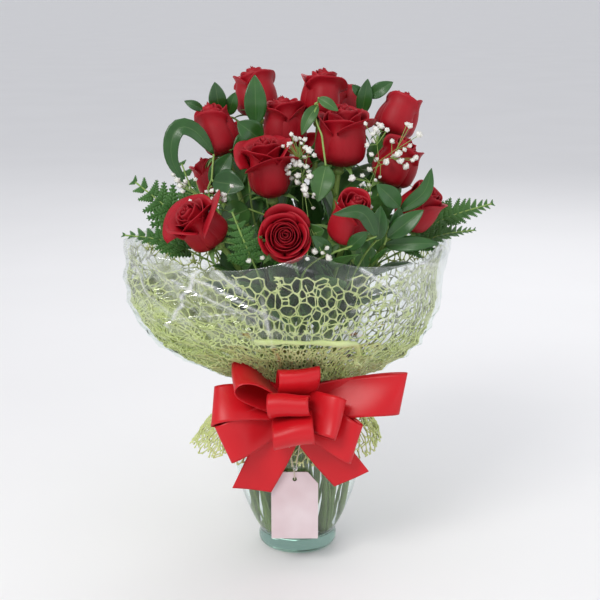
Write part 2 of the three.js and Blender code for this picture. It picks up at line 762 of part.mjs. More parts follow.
add("vase", vaseSolid(), "glass");
add("mesh_wrap", sleeve(MESH_LEVELS, 0, MESH_THICKNESS), "mesh");
add("film_wrap", sleeve(FILM_LEVELS, FILM_INSIDE, FILM_OUTSIDE), "film");
placed.push(sleeve(ALL_LEVELS, -GAP, FILM_OUTSIDE + GAP));
roses.forEach((rose, i) => {
  add(numbered("rose_bloom", i), bloomSolid(rose, 0), "petal");
  placed.push(bloomSolid(rose, GAP));
});
roses.forEach((rose, i) => {
  settle(rose, stemSolid);
  add(numbered("rose_stem", i), cutClear(stemSolid(rose, 0)), "stem");
  placed.push(stemSolid(rose, GAP));
});
const greens = [
  ["ruscus", sprigs, ruscusStalk, ruscusLeaves],
  ["fern", fronds, fernStalk, fernFrond],
  ["gypsophila", gypsophilas, gypsophilaStalk, gypsophilaSpray],
];
for (const [kind, plants, stalk, top] of greens)
  plants.forEach((plant, i) => {
    settle(plant, stalk);
    const whole = (grow) => stalk(plant, grow).add(top(plant, grow));
    add(numbered(kind, i), cutClear(whole(0)), kind);
    placed.push(whole(GAP));
  });
add("water", cutClear(waterSolid()), "water");
add("ribbon_tie", tieSolid(0), "ribbon");
add("ribbon_bow", bowSolid(), "ribbon");
add("tag", tagSolid(), "card");
add("tag_string", stringSolid(0), "string");
add("tag_bead", beadSolid(), "string");

export default group;
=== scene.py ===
"""Looks for red roses in a clear glass vase, wrapped in mesh and film and tied with a bow.

Every size is in metres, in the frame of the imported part: +Z up, the bow towards -Y.
"""

import logging
import math
from dataclasses import dataclass, field
from enum import Enum
from typing import Iterable, Sequence

import bmesh
import bpy
import numpy as np
from mathutils import Euler, Matrix, Vector
from mathutils.geometry import delaunay_2d_cdt


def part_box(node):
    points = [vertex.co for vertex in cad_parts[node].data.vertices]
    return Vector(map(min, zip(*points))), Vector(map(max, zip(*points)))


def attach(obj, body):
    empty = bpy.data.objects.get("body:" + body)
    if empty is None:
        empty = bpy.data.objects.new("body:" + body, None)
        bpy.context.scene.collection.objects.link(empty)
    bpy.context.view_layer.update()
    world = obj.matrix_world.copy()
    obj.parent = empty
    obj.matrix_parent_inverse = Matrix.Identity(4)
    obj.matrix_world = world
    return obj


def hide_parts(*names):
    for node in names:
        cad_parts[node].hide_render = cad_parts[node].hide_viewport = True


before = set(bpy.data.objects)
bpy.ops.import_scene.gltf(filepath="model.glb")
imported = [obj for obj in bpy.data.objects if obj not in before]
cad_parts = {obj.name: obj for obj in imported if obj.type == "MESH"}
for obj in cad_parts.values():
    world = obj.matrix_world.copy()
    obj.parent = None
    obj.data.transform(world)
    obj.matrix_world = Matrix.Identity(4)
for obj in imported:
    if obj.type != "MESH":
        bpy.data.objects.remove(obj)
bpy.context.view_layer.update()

log = logging.getLogger("bouquet")
logging.basicConfig(level=logging.INFO, format="%(message)s")

Grid = np.ndarray
Color = tuple[float, float, float]
TAU = 2 * math.pi
BODY = "root"


# ---------------------------------------------------------------- mesh helpers
class Patchwork:
    """Gathers patches of points and faces, with their own UVs and tints, into one mesh."""

    def __init__(self) -> None:
        """Starts with nothing in it."""
        self.points: list[np.ndarray] = []
        self.faces: list[tuple[int, ...]] = []
        self.uvs: list[np.ndarray] = []
        self.tints: list[np.ndarray] = []
        self.slots: list[int] = []
        self.count = 0

    def add(
        self,
        points: np.ndarray,
        faces: Iterable[tuple[int, ...]],
        uv: np.ndarray | None = None,
        tint: float | np.ndarray = 0.5,
        slot: int = 0,
    ) -> None:
        """Adds one patch.

        Args:
            points: its corners, one row each.
            faces: indices into those corners.
            uv: a UV for each corner, or None.
            tint: from 0 to 1, for the patch or each corner, which the materials read.
            slot: the material slot of its faces.
        """
        listed = [tuple(i + self.count for i in face) for face in faces]
        self.points.append(np.asarray(points, float))
        self.faces.extend(listed)
        self.uvs.append(np.zeros((len(points), 2)) if uv is None else np.asarray(uv, float))
        self.tints.append(np.broadcast_to(np.asarray(tint, float).ravel(), (len(points),)).copy())
        self.slots.extend([slot] * len(listed))
        self.count += len(points)

    def add_grid(self, grid: Grid, tint: float | np.ndarray = 0.5, slot: int = 0, wrap: bool = False) -> None:
        """Adds a sheet of rows and columns of points, its columns joined round if wrap is true."""
        rows, cols = grid.shape[:2]
        across = cols if wrap else cols - 1
        faces = [
            (r * cols + c, r * cols + (c + 1) % cols, (r + 1) * cols + (c + 1) % cols, (r + 1) * cols + c)
            for r in range(rows - 1)
            for c in range(across)
        ]
        v, u = np.meshgrid(np.linspace(0, 1, rows), np.linspace(0, 1, cols), indexing="ij")
        uv = np.stack([u.ravel(), v.ravel()], 1)
        self.add(grid.reshape(-1, 3), faces, uv, tint, slot)

    def build(self, name: str, materials: Sequence[bpy.types.Material]) -> bpy.types.Object:
        """Makes the mesh object.

        Args:
            name: the piece's name.
            materials: its material slots, in order.

        Returns:
            The object, at the origin, shaded smooth.
        """
        mesh = bpy.data.meshes.new(name)
        points = np.concatenate(self.points)
        mesh.from_pydata(points.tolist(), [], self.faces)
        corner_points = np.empty(len(mesh.loops), np.int32)
        mesh.loops.foreach_get("vertex_index", corner_points)
        layer = mesh.uv_layers.new(name="UVMap")
        layer.data.foreach_set("uv", np.concatenate(self.uvs)[corner_points].astype(np.float32).ravel())
        attribute = mesh.attributes.new("tint", "FLOAT", "POINT")
        attribute.data.foreach_set("value", np.concatenate(self.tints).astype(np.float32))
        for material in materials:
            mesh.materials.append(material)
        mesh.polygons.foreach_set("material_index", self.slots)
        mesh.polygons.foreach_set("use_smooth", [True] * len(mesh.polygons))
        mesh.update()
        made = bpy.data.objects.new(name, mesh)
        bpy.context.scene.collection.objects.link(made)
        return made


def thicken(piece: bpy.types.Object, thickness: float, offset: float = 0.0) -> None:
    """Gives a sheet its thickness with an applied Solidify modifier.

    Args:
        piece: the sheet.
        thickness: how thick it becomes.
        offset: -1 grows inwards, 0 both ways, 1 outwards.
    """
    modifier = piece.modifiers.new("thickness", "SOLIDIFY")
    modifier.thickness = thickness
    modifier.offset = offset
    modifier.use_even_offset = False
    bake_modifiers(piece)


def bake_modifiers(piece: bpy.types.Object) -> None:
    """Turns an object's modifiers into its plain mesh."""
    graph = bpy.context.evaluated_depsgraph_get()
    baked = bpy.data.meshes.new_from_object(piece.evaluated_get(graph), depsgraph=graph)
    old = piece.data
    piece.modifiers.clear()
    piece.data = baked
    baked.name = piece.name
    bpy.data.meshes.remove(old)


def tidy_normals(piece: bpy.types.Object) -> None:
    """Merges doubles and turns every face of a closed piece outwards."""
    work = bmesh.new()
    work.from_mesh(piece.data)
    bmesh.ops.remove_doubles(work, verts=work.verts, dist=1e-6)
    bmesh.ops.recalc_face_normals(work, faces=work.faces)
    work.to_mesh(piece.data)
    work.free()


def unit(vector: np.ndarray) -> np.ndarray:
    """A vector of length one in the same direction."""
    return vector / max(float(np.linalg.norm(vector)), 1e-12)


def basis(forward: np.ndarray, normal: np.ndarray) -> np.ndarray:
    """Axes of a flat thing, as rows: along it, across it, and out of its face."""
    x = unit(forward)
    z = unit(normal - x * float(normal @ x))
    return np.stack([x, np.cross(z, x), z])


def placed(points: np.ndarray, origin: np.ndarray, axes: np.ndarray) -> np.ndarray:
    """Points given in a thing's own axes, moved to where the thing is."""
    return points @ axes + origin


def turned(vector: np.ndarray, axis: np.ndarray, angle: float) -> np.ndarray:
    """A vector turned about an axis by an angle in radians."""
    return np.array(Matrix.Rotation(angle, 3, Vector(axis)) @ Vector(vector))


def smoothstep(value: np.ndarray | float, low: float = 0.0, high: float = 1.0) -> np.ndarray:
    """0 below low, 1 above high, and a smooth rise between."""
    share = np.clip((np.asarray(value, float) - low) / (high - low), 0, 1)
    return share * share * (3 - 2 * share)


def through(points: np.ndarray, count: int) -> np.ndarray:
    """A smooth line of count evenly spaced points through the given ones."""
    points = np.asarray(points, float)
    ends = np.concatenate([[2 * points[0] - points[1]], points, [2 * points[-1] - points[-2]]])
    dense = []
    for a, b, c, d in zip(ends, ends[1:], ends[2:], ends[3:]):
        for t in np.linspace(0, 1, 12, endpoint=False):
            square = (2 * a - 5 * b + 4 * c - d) * t**2
            cube = (3 * b - a - 3 * c + d) * t**3
            dense.append(0.5 * (2 * b + (c - a) * t + square + cube))
    line = np.array([*dense, points[-1]])
    run = np.concatenate([[0], np.cumsum(np.linalg.norm(np.diff(line, axis=0), axis=1))])
    return np.stack([np.interp(np.linspace(0, run[-1], count), run, line[:, k]) for k in range(3)], 1)


def finish_piece(piece: bpy.types.Object, slot: str, *nodes: str) -> bpy.types.Object:
    """Puts a finished piece on the body, in place of its CAD nodes.

    Args:
        piece: the finished piece.
        slot: the record's material slot; not used.
        nodes: the CAD nodes that it stands for.

    Returns:
        The same piece.
    """
    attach(piece, BODY)
    if nodes:
        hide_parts(*nodes)
    log.info("%s: %d faces", piece.name, len(piece.data.polygons) if piece.type == "MESH" else 0)
    return piece


# ---------------------------------------------------------------- what the CAD says
class Solid:
    """A CAD node's corners, and the level sections cut through it."""

    def __init__(self, name: str) -> None:
        """Reads one node's mesh.

        Args:
            name: the CAD node.
        """
        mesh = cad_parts[name].data
        mesh.calc_loop_triangles()
        corners = np.empty(len(mesh.vertices) * 3)
        mesh.vertices.foreach_get("co", corners)
        picks = np.empty(len(mesh.loop_triangles) * 3, np.int64)
        mesh.loop_triangles.foreach_get("vertices", picks)
        self.name = name
        self.triangles = corners.reshape(-1, 3)[picks.reshape(-1, 3)]
        self.points = np.unique(np.round(corners.reshape(-1, 3), 6), axis=0)

    def cut(self, height: float) -> np.ndarray:
        """The points where the solid's edges cross a level plane."""
        found = []
        for a, b in ((0, 1), (1, 2), (2, 0)):
            p, q = self.triangles[:, a], self.triangles[:, b]
            crosses = (p[:, 2] - height) * (q[:, 2] - height) < 0
            p, q = p[crosses], q[crosses]
            share = ((height - p[:, 2]) / (q[:, 2] - p[:, 2]))[:, None]
            found.append(p + (q - p) * share)
        return np.concatenate(found)

    def stalk(self, low: float, high: float, count: int) -> np.ndarray:
        """The middle of an upright stalk at evenly spaced heights."""
        cuts = [self.cut(height) for height in np.linspace(low, high, count)]
        return np.array([(c.min(0) + c.max(0)) / 2 for c in cuts if len(c)])


@dataclass(frozen=True)
class BloomFrame:
    """Where one bloom is: its base, the way it faces, and its size."""

    base: np.ndarray
    axis: np.ndarray
    radius: float
    height: float

    @classmethod
    def of(cls, bloom: Solid, stem: Solid) -> "BloomFrame":
        """Measures a bloom against the top of its stem.

        Args:
            bloom: the bloom's solid.
            stem: its stem's solid.

        Returns:
            The bloom's frame.
        """
        middle = bloom.points.mean(0)
        near = np.argsort(np.linalg.norm(stem.points - middle, axis=1))[:7]
        neck = stem.points[near].mean(0)
        axis = unit(middle - neck)
        along = (bloom.points - neck) @ axis
        out = np.linalg.norm(bloom.points - neck - np.outer(along, axis), axis=1)
        return cls(neck + axis * along.min(), axis, float(out.max()), float(np.ptp(along)))


class Sleeve:
    """The wrap's wall as a radius at each angle and height, read from its CAD node."""

    TURNS = 88
    LEVELS = 60

    def __init__(self, node: str) -> None:
        """Measures the inner wall of a sleeve round the vase's axis."""
        solid = Solid(node)
        low, high = solid.points[:, 2].min(), solid.points[:, 2].max()
        self.heights = np.linspace(low + 0.0005, high - 0.0005, self.LEVELS)
        self.angles = np.linspace(-math.pi, math.pi, self.TURNS, endpoint=False)
        rows = []
        for height in self.heights:
            cut = solid.cut(height)
            angle = np.arctan2(cut[:, 1], cut[:, 0])
            radius = np.hypot(cut[:, 0], cut[:, 1])
            inner = [radius[np.abs((angle - a + math.pi) % TAU - math.pi) < 0.2].min() for a in self.angles]
            rows.append(inner)
        self.table = np.array(rows)

    def radius(self, angle: np.ndarray, height: np.ndarray) -> np.ndarray:
        """The inner radius at angles and heights of the same shape."""
        turn = (np.asarray(angle) + math.pi) % TAU / TAU * self.TURNS
        level = np.interp(height, self.heights, np.arange(self.LEVELS))
        a0, l0 = np.floor(turn).astype(int), np.minimum(np.floor(level).astype(int), self.LEVELS - 2)
        fa, fl = turn - a0, level - l0
        a0, a1 = a0 % self.TURNS, (a0 + 1) % self.TURNS
        low = self.table[l0, a0] * (1 - fa) + self.table[l0, a1] * fa
        high = self.table[l0 + 1, a0] * (1 - fa) + self.table[l0 + 1, a1] * fa
        return low * (1 - fl) + high * fl


# ---------------------------------------------------------------- materials
class Shade:
    """Writes one material's node tree, a node at a time."""

    def __init__(self, name: str) -> None:
        """Starts an empty material."""
        self.material = bpy.data.materials.new(name)
        self.material.use_nodes = True
        self.tree = self.material.node_tree
        self.tree.nodes.clear()
        self.output = self.tree.nodes.new("ShaderNodeOutputMaterial")

    def node(self, kind: str, inputs: dict | None = None, **settings: object) -> bpy.types.Node:
        """Adds a node.

        Args:
            kind: the shader node's class name without its prefix.
            inputs: values or sockets for its inputs, by name or number.
            settings: its own settings.

        Returns:
            The node.
        """
        made = self.tree.nodes.new("ShaderNode" + kind)
        for name, value in settings.items():
            setattr(made, name, value)
        for name, value in (inputs or {}).items():
            if isinstance(value, bpy.types.NodeSocket):
                self.tree.links.new(value, made.inputs[name])
            else:
                made.inputs[name].default_value = value
        return made

    def place(self) -> bpy.types.NodeSocket:
        """The Object coordinates."""
        return self.node("TexCoord").outputs["Object"]

    def uv(self) -> bpy.types.NodeSocket:
        """The piece's own UV."""
        return self.node("UVMap", uv_map="UVMap").outputs["UV"]

    def tint(self) -> bpy.types.NodeSocket:
        """The value each patch was given."""
        return self.node("Attribute", attribute_name="tint").outputs["Fac"]

    def noise(self, coords: bpy.types.NodeSocket, scale: float, detail: float = 3) -> bpy.types.NodeSocket:
        """Cloudy noise at a scale."""
        return self.node("TexNoise", {"Vector": coords, "Scale": scale, "Detail": detail}).outputs["Fac"]

    def math(self, operation: str, a: object, b: object = 0.0) -> bpy.types.NodeSocket:
        """One sum on two values."""
        return self.node("Math", {0: a, 1: b}, operation=operation).outputs[0]

    def ramp(
        self, factor: bpy.types.NodeSocket, stops: Sequence[tuple[float, Color]]
    ) -> bpy.types.NodeSocket:
        """A colour for each share of a factor."""
        made = self.node("ValToRGB", {"Fac": factor})
        elements = made.color_ramp.elements
        while len(elements) < len(stops):
            elements.new(0.5)
        for element, (position, color) in zip(elements, stops):
            element.position = position
            element.color = (*color, 1)
        return made.outputs["Color"]

    def mix(self, factor: object, a: object, b: object, blend: str = "MIX") -> bpy.types.NodeSocket:
        """Two colours mixed, added or multiplied."""
        pad = lambda value: (*value, 1) if isinstance(value, tuple) else value
        made = self.node("Mix", {0: factor, 6: pad(a), 7: pad(b)}, data_type="RGBA", blend_type=blend)
        return made.outputs[2]

    def bump(self, height: bpy.types.NodeSocket, strength: float, distance: float) -> bpy.types.NodeSocket:
        """A bump normal from a height."""
        inputs = {"Height": height, "Strength": strength, "Distance": distance}
        return self.node("Bump", inputs).outputs["Normal"]

    def surface(self, shader: bpy.types.NodeSocket) -> bpy.types.Material:
        """Connects the shader and gives the finished material."""
        self.tree.links.new(shader, self.output.inputs["Surface"])
        return self.material

    def principled(self, **inputs: object) -> bpy.types.Material:
        """Finishes with a Principled shader, whose inputs are named with underscores for spaces."""
        named = {name.replace("_", " "): value for name, value in inputs.items()}
        for name in ("Base Color", "Sheen Tint", "Subsurface Radius", "Coat Tint"):
            if isinstance(named.get(name), tuple) and name != "Subsurface Radius":
                named[name] = (*named[name], 1)
        return self.surface(self.node("BsdfPrincipled", named).outputs["BSDF"])


@dataclass(frozen=True)
class PetalFinish:
    """Velvety red petals: painted shade at the heel and on the inner petals, lighter at the lip, darker in
    cloudy patches, with fine lengthwise veins.
    """

    # deep is the dark red of the painted shade at each petal's heel, also used for the cloudy patches.
    deep: Color = (0.12, 0.0006, 0.003)
    body: Color = (0.42, 0.003, 0.013)
    lip: Color = (0.50, 0.006, 0.02)
    roughness: float = 0.5

    def material(self) -> bpy.types.Material:
        """Builds the material."""
        shade = Shade("velvet_petal")
        uv = shade.uv()
        parts = shade.node("SeparateXYZ", {0: uv})
        along = parts.outputs["Y"]
        # Painted shade: the colour darkens to deep at the heel, down inside the bloom, and lightens at the
        # lip.
        color = shade.ramp(along, [(0.0, self.deep), (0.35, self.body), (0.86, self.body), (1.0, self.lip)])
        # Painted shade for the heart: the tint, lower on the inner petals and partly random, darkens the
        # petal.
        patch = shade.ramp(shade.tint(), [(0.0, (0.55, 0.5, 0.5)), (1.0, (1.12, 1.1, 1.1))])
        color = shade.mix(1.0, color, patch, "MULTIPLY")
        cloud = shade.noise(shade.place(), 90)
        color = shade.mix(shade.math("MULTIPLY", cloud, 0.35), color, self.deep)
        stretched = shade.node("Mapping", {"Vector": uv, "Scale": (46, 2.4, 1)}).outputs[0]
        veins = shade.noise(stretched, 1.0, 4)
        grain = shade.noise(shade.place(), 1800, 2)
        height = shade.math("ADD", shade.math("MULTIPLY", veins, 0.8), shade.math("MULTIPLY", grain, 0.2))
        return shade.principled(
            Base_Color=color,
            Roughness=self.roughness,
            Sheen_Weight=0.12,
            Sheen_Roughness=0.4,
            Sheen_Tint=(0.9, 0.10, 0.14),
            Specular_IOR_Level=0.3,
            Normal=shade.bump(height, 0.35, 0.0006),
        )


@dataclass(frozen=True)
class LeafFinish:
    """A leaf: its two greens, its gloss, and how its veins run."""

    name: str
    dark: Color
    light: Color
    roughness: float
    veins: Vector = field(default_factory=lambda: Vector((26, 1.2, 1)))
    vein_light: float = 0.25
    rib: float = 0.02
    coat: float = 0.0

    def material(self) -> bpy.types.Material:
        """Builds the material."""
        shade = Shade(self.name)
        uv = shade.uv()
        cloud = shade.noise(shade.place(), 60)
        color = shade.mix(cloud, self.dark, self.light)
        patch = shade.ramp(shade.tint(), [(0.0, (0.62, 0.66, 0.6)), (1.0, (1.2, 1.18, 1.05))])
        color = shade.mix(1.0, color, patch, "MULTIPLY")
        stretched = shade.node("Mapping", {"Vector": uv, "Scale": self.veins}).outputs[0]
        veins = shade.noise(stretched, 1.0, 3)
        across = shade.node("SeparateXYZ", {0: uv}).outputs["X"]
        middle = shade.math("ABSOLUTE", shade.math("SUBTRACT", across, 0.5))
        rib = shade.math("LESS_THAN", middle, self.rib)
        color = shade.mix(shade.math("MULTIPLY", rib, self.vein_light), color, (0.35, 0.5, 0.2))
        height = shade.math("ADD", veins, shade.math("MULTIPLY", rib, 0.8))
        return shade.principled(
            Base_Color=color,
            Roughness=self.roughness,
            Coat_Weight=self.coat,
            Coat_Roughness=0.25,
            Subsurface_Weight=0.0,
            Normal=shade.bump(height, 0.4, 0.0006),
        )


@dataclass(frozen=True)
class StemFinish:
    """Green stem skin, paler and browner in streaks."""

    dark: Color = (0.15, 0.30, 0.05)
    light: Color = (0.34, 0.52, 0.13)

    def material(self) -> bpy.types.Material:
        """Builds the material."""
        shade = Shade("stem_skin")
        stretched = shade.node("Mapping", {"Vector": shade.place(), "Scale": (260, 260, 14)}).outputs[0]
        streaks = shade.noise(stretched, 1.0, 4)
        color = shade.ramp(streaks, [(0.25, self.dark), (0.75, self.light)])
        blush = shade.math("MULTIPLY", shade.noise(shade.place(), 45), 0.4)
        color = shade.mix(blush, color, (0.20, 0.19, 0.07))
        return shade.principled(
            Base_Color=color,
            Roughness=0.48,
            Normal=shade.bump(streaks, 0.3, 0.0006),
        )


@dataclass(frozen=True)
class FlowerletFinish:
    """Matte white flowerlets, warmer and darker cream in cloudy patches."""

    def material(self) -> bpy.types.Material:
        """Builds the material."""
        shade = Shade("white_flowerlet")
        cloud = shade.noise(shade.place(), 700)
        creams = [(0.25, (0.62, 0.60, 0.48)), (0.55, (0.86, 0.85, 0.80)), (1.0, (0.92, 0.92, 0.9))]
        color = shade.ramp(cloud, creams)
        return shade.principled(
            Base_Color=color,
            Roughness=0.75,
            Sheen_Weight=0.2,
            Normal=shade.bump(cloud, 0.5, 0.0008),
        )


@dataclass(frozen=True)
class FibreFinish:
    """Pale lime fibre, pressed and slightly waxy, with uneven dye."""

    name: str = "lime_fibre"
    dark: Color = (0.56, 0.65, 0.20)
    light: Color = (0.80, 0.85, 0.40)

    def material(self) -> bpy.types.Material:
        """Builds the material."""
        shade = Shade(self.name)
        cloud = shade.noise(shade.place(), 38, 4)
        color = shade.ramp(cloud, [(0.25, self.dark), (0.7, self.light)])
        fine = shade.noise(shade.place(), 1300, 3)
        return shade.principled(
            Base_Color=color,
            Roughness=0.62,
            Sheen_Weight=0.25,
            Normal=shade.bump(fine, 0.5, 0.0005),
        )


@dataclass(frozen=True)
class FleeceFinish:
    """The thin lime fleece that backs the web: loose fibres that let some light through."""

    color: Color = (0.74, 0.81, 0.36)

    def material(self) -> bpy.types.Material:
        """Builds the material."""
        shade = Shade("lime_fleece")
        fibres = shade.noise(shade.place(), 420, 4)
        cloud = shade.noise(shade.place(), 45, 3)
        cover = shade.math("MULTIPLY", shade.tint(), shade.math("ADD", fibres, 0.15))
        cover = shade.math("MULTIPLY", cover, shade.math("ADD", cloud, 0.35))
        color = shade.mix(shade.math("MULTIPLY", cloud, 0.5), self.color, (0.86, 0.88, 0.60))
        inputs = {"Color": color, "Roughness": 0.9, "Normal": shade.bump(fibres, 0.4, 0.0006)}
        fleece = shade.node("BsdfDiffuse", inputs).outputs[0]
        clear = shade.node("BsdfTransparent").outputs[0]
        return shade.surface(shade.node("MixShader", {0: cover, 1: clear, 2: fleece}).outputs[0])


@dataclass(frozen=True)
class FilmFinish:
    """Crisp clear film: mirrors the room at a glance, with painted highlights along its creases and a painted
    veil of reflection where the tint is above zero, and less mirror where it is below.
    """

    def material(self) -> bpy.types.Material:
        """Builds the material."""
        shade = Shade("clear_film")
        wave = shade.noise(shade.place(), 14, 3)
        normal = shade.bump(wave, 0.3, 0.006)
        fresnel = shade.node("Fresnel", {"IOR": 1.35, "Normal": normal}).outputs[0]
        glance = shade.math("MINIMUM", shade.math("MULTIPLY", fresnel, 0.9), 0.26)
        # A tint below zero turns the mirror down.
        quiet = shade.math("MINIMUM", shade.math("ADD", shade.tint(), 1.0), 1.0)
        glance = shade.math("MULTIPLY", glance, quiet)
        # Painted highlight: a tint above zero mixes in extra mirror along the creases and over the veil near
        # the top.
        painted_crease_highlight = shade.math("MAXIMUM", shade.tint(), 0.0)
        painted_crease_highlight = shade.math("MULTIPLY", shade.math("POWER", painted_crease_highlight, 1.5), 0.75)
        amount = shade.math("ADD", glance, painted_crease_highlight)
        clear = shade.node("BsdfTransparent", {"Color": (0.97, 0.985, 0.98, 1)}).outputs[0]
        shine = {"Color": (1, 1, 1, 1), "Roughness": 0.07, "Normal": normal}
        gloss = shade.node("BsdfGlossy", shine).outputs[0]
        return shade.surface(shade.node("MixShader", {0: amount, 1: clear, 2: gloss}).outputs[0])


@dataclass(frozen=True)
class GlassFinish:
    """Clear pressed glass that lets lamps through and greens where it is thick."""

    name: str
    color: Color
    ior: float
    depth_color: Color
    density: float

    def material(self) -> bpy.types.Material:
        """Builds the material."""
        shade = Shade(self.name)
        ripple = shade.noise(shade.place(), 24, 2)
        inputs = {
            "Color": (*self.color, 1),
            "Roughness": 0.0,
            "IOR": self.ior,
            "Normal": shade.bump(ripple, 0.12, 0.004),
        }
        glass = shade.node("BsdfGlass", inputs).outputs[0]
        clear = shade.node("BsdfTransparent", {"Color": (*self.color, 1)}).outputs[0]
        shadow = shade.node("LightPath").outputs["Is Shadow Ray"]
        material = shade.surface(shade.node("MixShader", {0: shadow, 1: glass, 2: clear}).outputs[0])
        if self.density:
            depth = {"Color": (*self.depth_color, 1), "Density": self.density}
            volume = shade.node("VolumeAbsorption", depth).outputs[0]
            shade.tree.links.new(volume, shade.output.inputs["Volume"])
        return material


@dataclass(frozen=True)
class SatinFinish:
    """Bright red satin: fine cross weave, a soft streaked sheen, and painted shade in cloudy patches."""

    # deep is the dark red of the painted shade of the bow's folds.
    deep: Color = (0.36, 0.002, 0.006)
    body: Color = (0.68, 0.010, 0.018)

    def material(self) -> bpy.types.Material:
        """Builds the material."""
        shade = Shade("red_satin")
        uv = shade.uv()
        cloud = shade.noise(shade.place(), 26, 3)
        # Painted shade: cloudy patches are drawn towards deep, standing in for the shade in the folds.
        color = shade.mix(shade.math("MULTIPLY", cloud, 0.5), self.body, self.deep)
        lanes = shade.node("Mapping", {"Vector": uv, "Scale": (160, 8, 1)}).outputs[0]
        weave = shade.noise(lanes, 1.0, 2)
        ribs = shade.node("Mapping", {"Vector": uv, "Scale": (2, 420, 1)}).outputs[0]
        cross = shade.noise(ribs, 1.0, 1)
        height = shade.math("ADD", shade.math("MULTIPLY", weave, 0.5), shade.math("MULTIPLY", cross, 0.5))
        return shade.principled(
            Base_Color=color,
            Roughness=0.34,
            Anisotropic=0.5,
            Specular_IOR_Level=0.35,
            Sheen_Weight=0.08,
            Sheen_Tint=(1.0, 0.25, 0.25),
            Normal=shade.bump(height, 0.25, 0.0003),
        )


@dataclass(frozen=True)
class CardFinish:
    """Pale pinkish uncoated card with loose fibres."""

    def material(self) -> bpy.types.Material:
        """Builds the material."""
        shade = Shade("tag_card")
        fibre = shade.noise(shade.place(), 900, 5)
        cloud = shade.noise(shade.place(), 30, 2)
        color = shade.ramp(cloud, [(0.3, (0.68, 0.53, 0.55)), (0.7, (0.78, 0.66, 0.68))])
        color = shade.mix(shade.math("MULTIPLY", fibre, 0.12), color, (0.45, 0.36, 0.36))
        return shade.principled(
            Base_Color=color,
            Roughness=0.72,
            Normal=shade.bump(fibre, 0.25, 0.0003),
        )


@dataclass(frozen=True)
class TwineFinish:
    """Cream cotton with its twist, and painted shade in the grooves between the strands."""

    def material(self) -> bpy.types.Material:
        """Builds the material."""
        shade = Shade("cream_twine")
        turned = shade.node("Mapping", {"Vector": shade.place(), "Rotation": (0.0, 0.7, 0.0)}).outputs[0]
        strands = {"Vector": turned, "Scale": 420.0, "Distortion": 1.5}
        twist = shade.node("TexWave", strands, bands_direction="Z")
        # Painted shade: the ramp darkens the twist's grooves, where the bump is low.
        color = shade.ramp(twist.outputs["Fac"], [(0.1, (0.42, 0.34, 0.22)), (0.7, (0.76, 0.68, 0.53))])
        return shade.principled(
            Base_Color=color,
            Roughness=0.8,
            Sheen_Weight=0.3,
            Normal=shade.bump(twist.outputs["Fac"], 0.6, 0.0004),
        )


RUSCUS = LeafFinish(
    "ruscus_leaf", (0.010, 0.052, 0.010), (0.034, 0.135, 0.022), 0.3, vein_light=0.12, coat=0.1
)
ROSE_LEAF = LeafFinish("rose_leaf", (0.035, 0.125, 0.026), (0.105, 0.26, 0.06), 0.42, Vector((3, 16, 1)))
FERN = LeafFinish("fern_leaf", (0.030, 0.120, 0.020), (0.095, 0.26, 0.055), 0.45, Vector((4, 14, 1)))
SEPAL = LeafFinish("sepal", (0.08, 0.18, 0.04), (0.18, 0.32, 0.09), 0.5)
GLASS = GlassFinish("clear_glass", (0.985, 0.995, 0.99), 1.48, (0.38, 0.60, 0.52), 26.0)
WATER = GlassFinish("still_water", (0.99, 1.0, 0.995), 1.333, (0.8, 0.95, 0.9), 0.6)


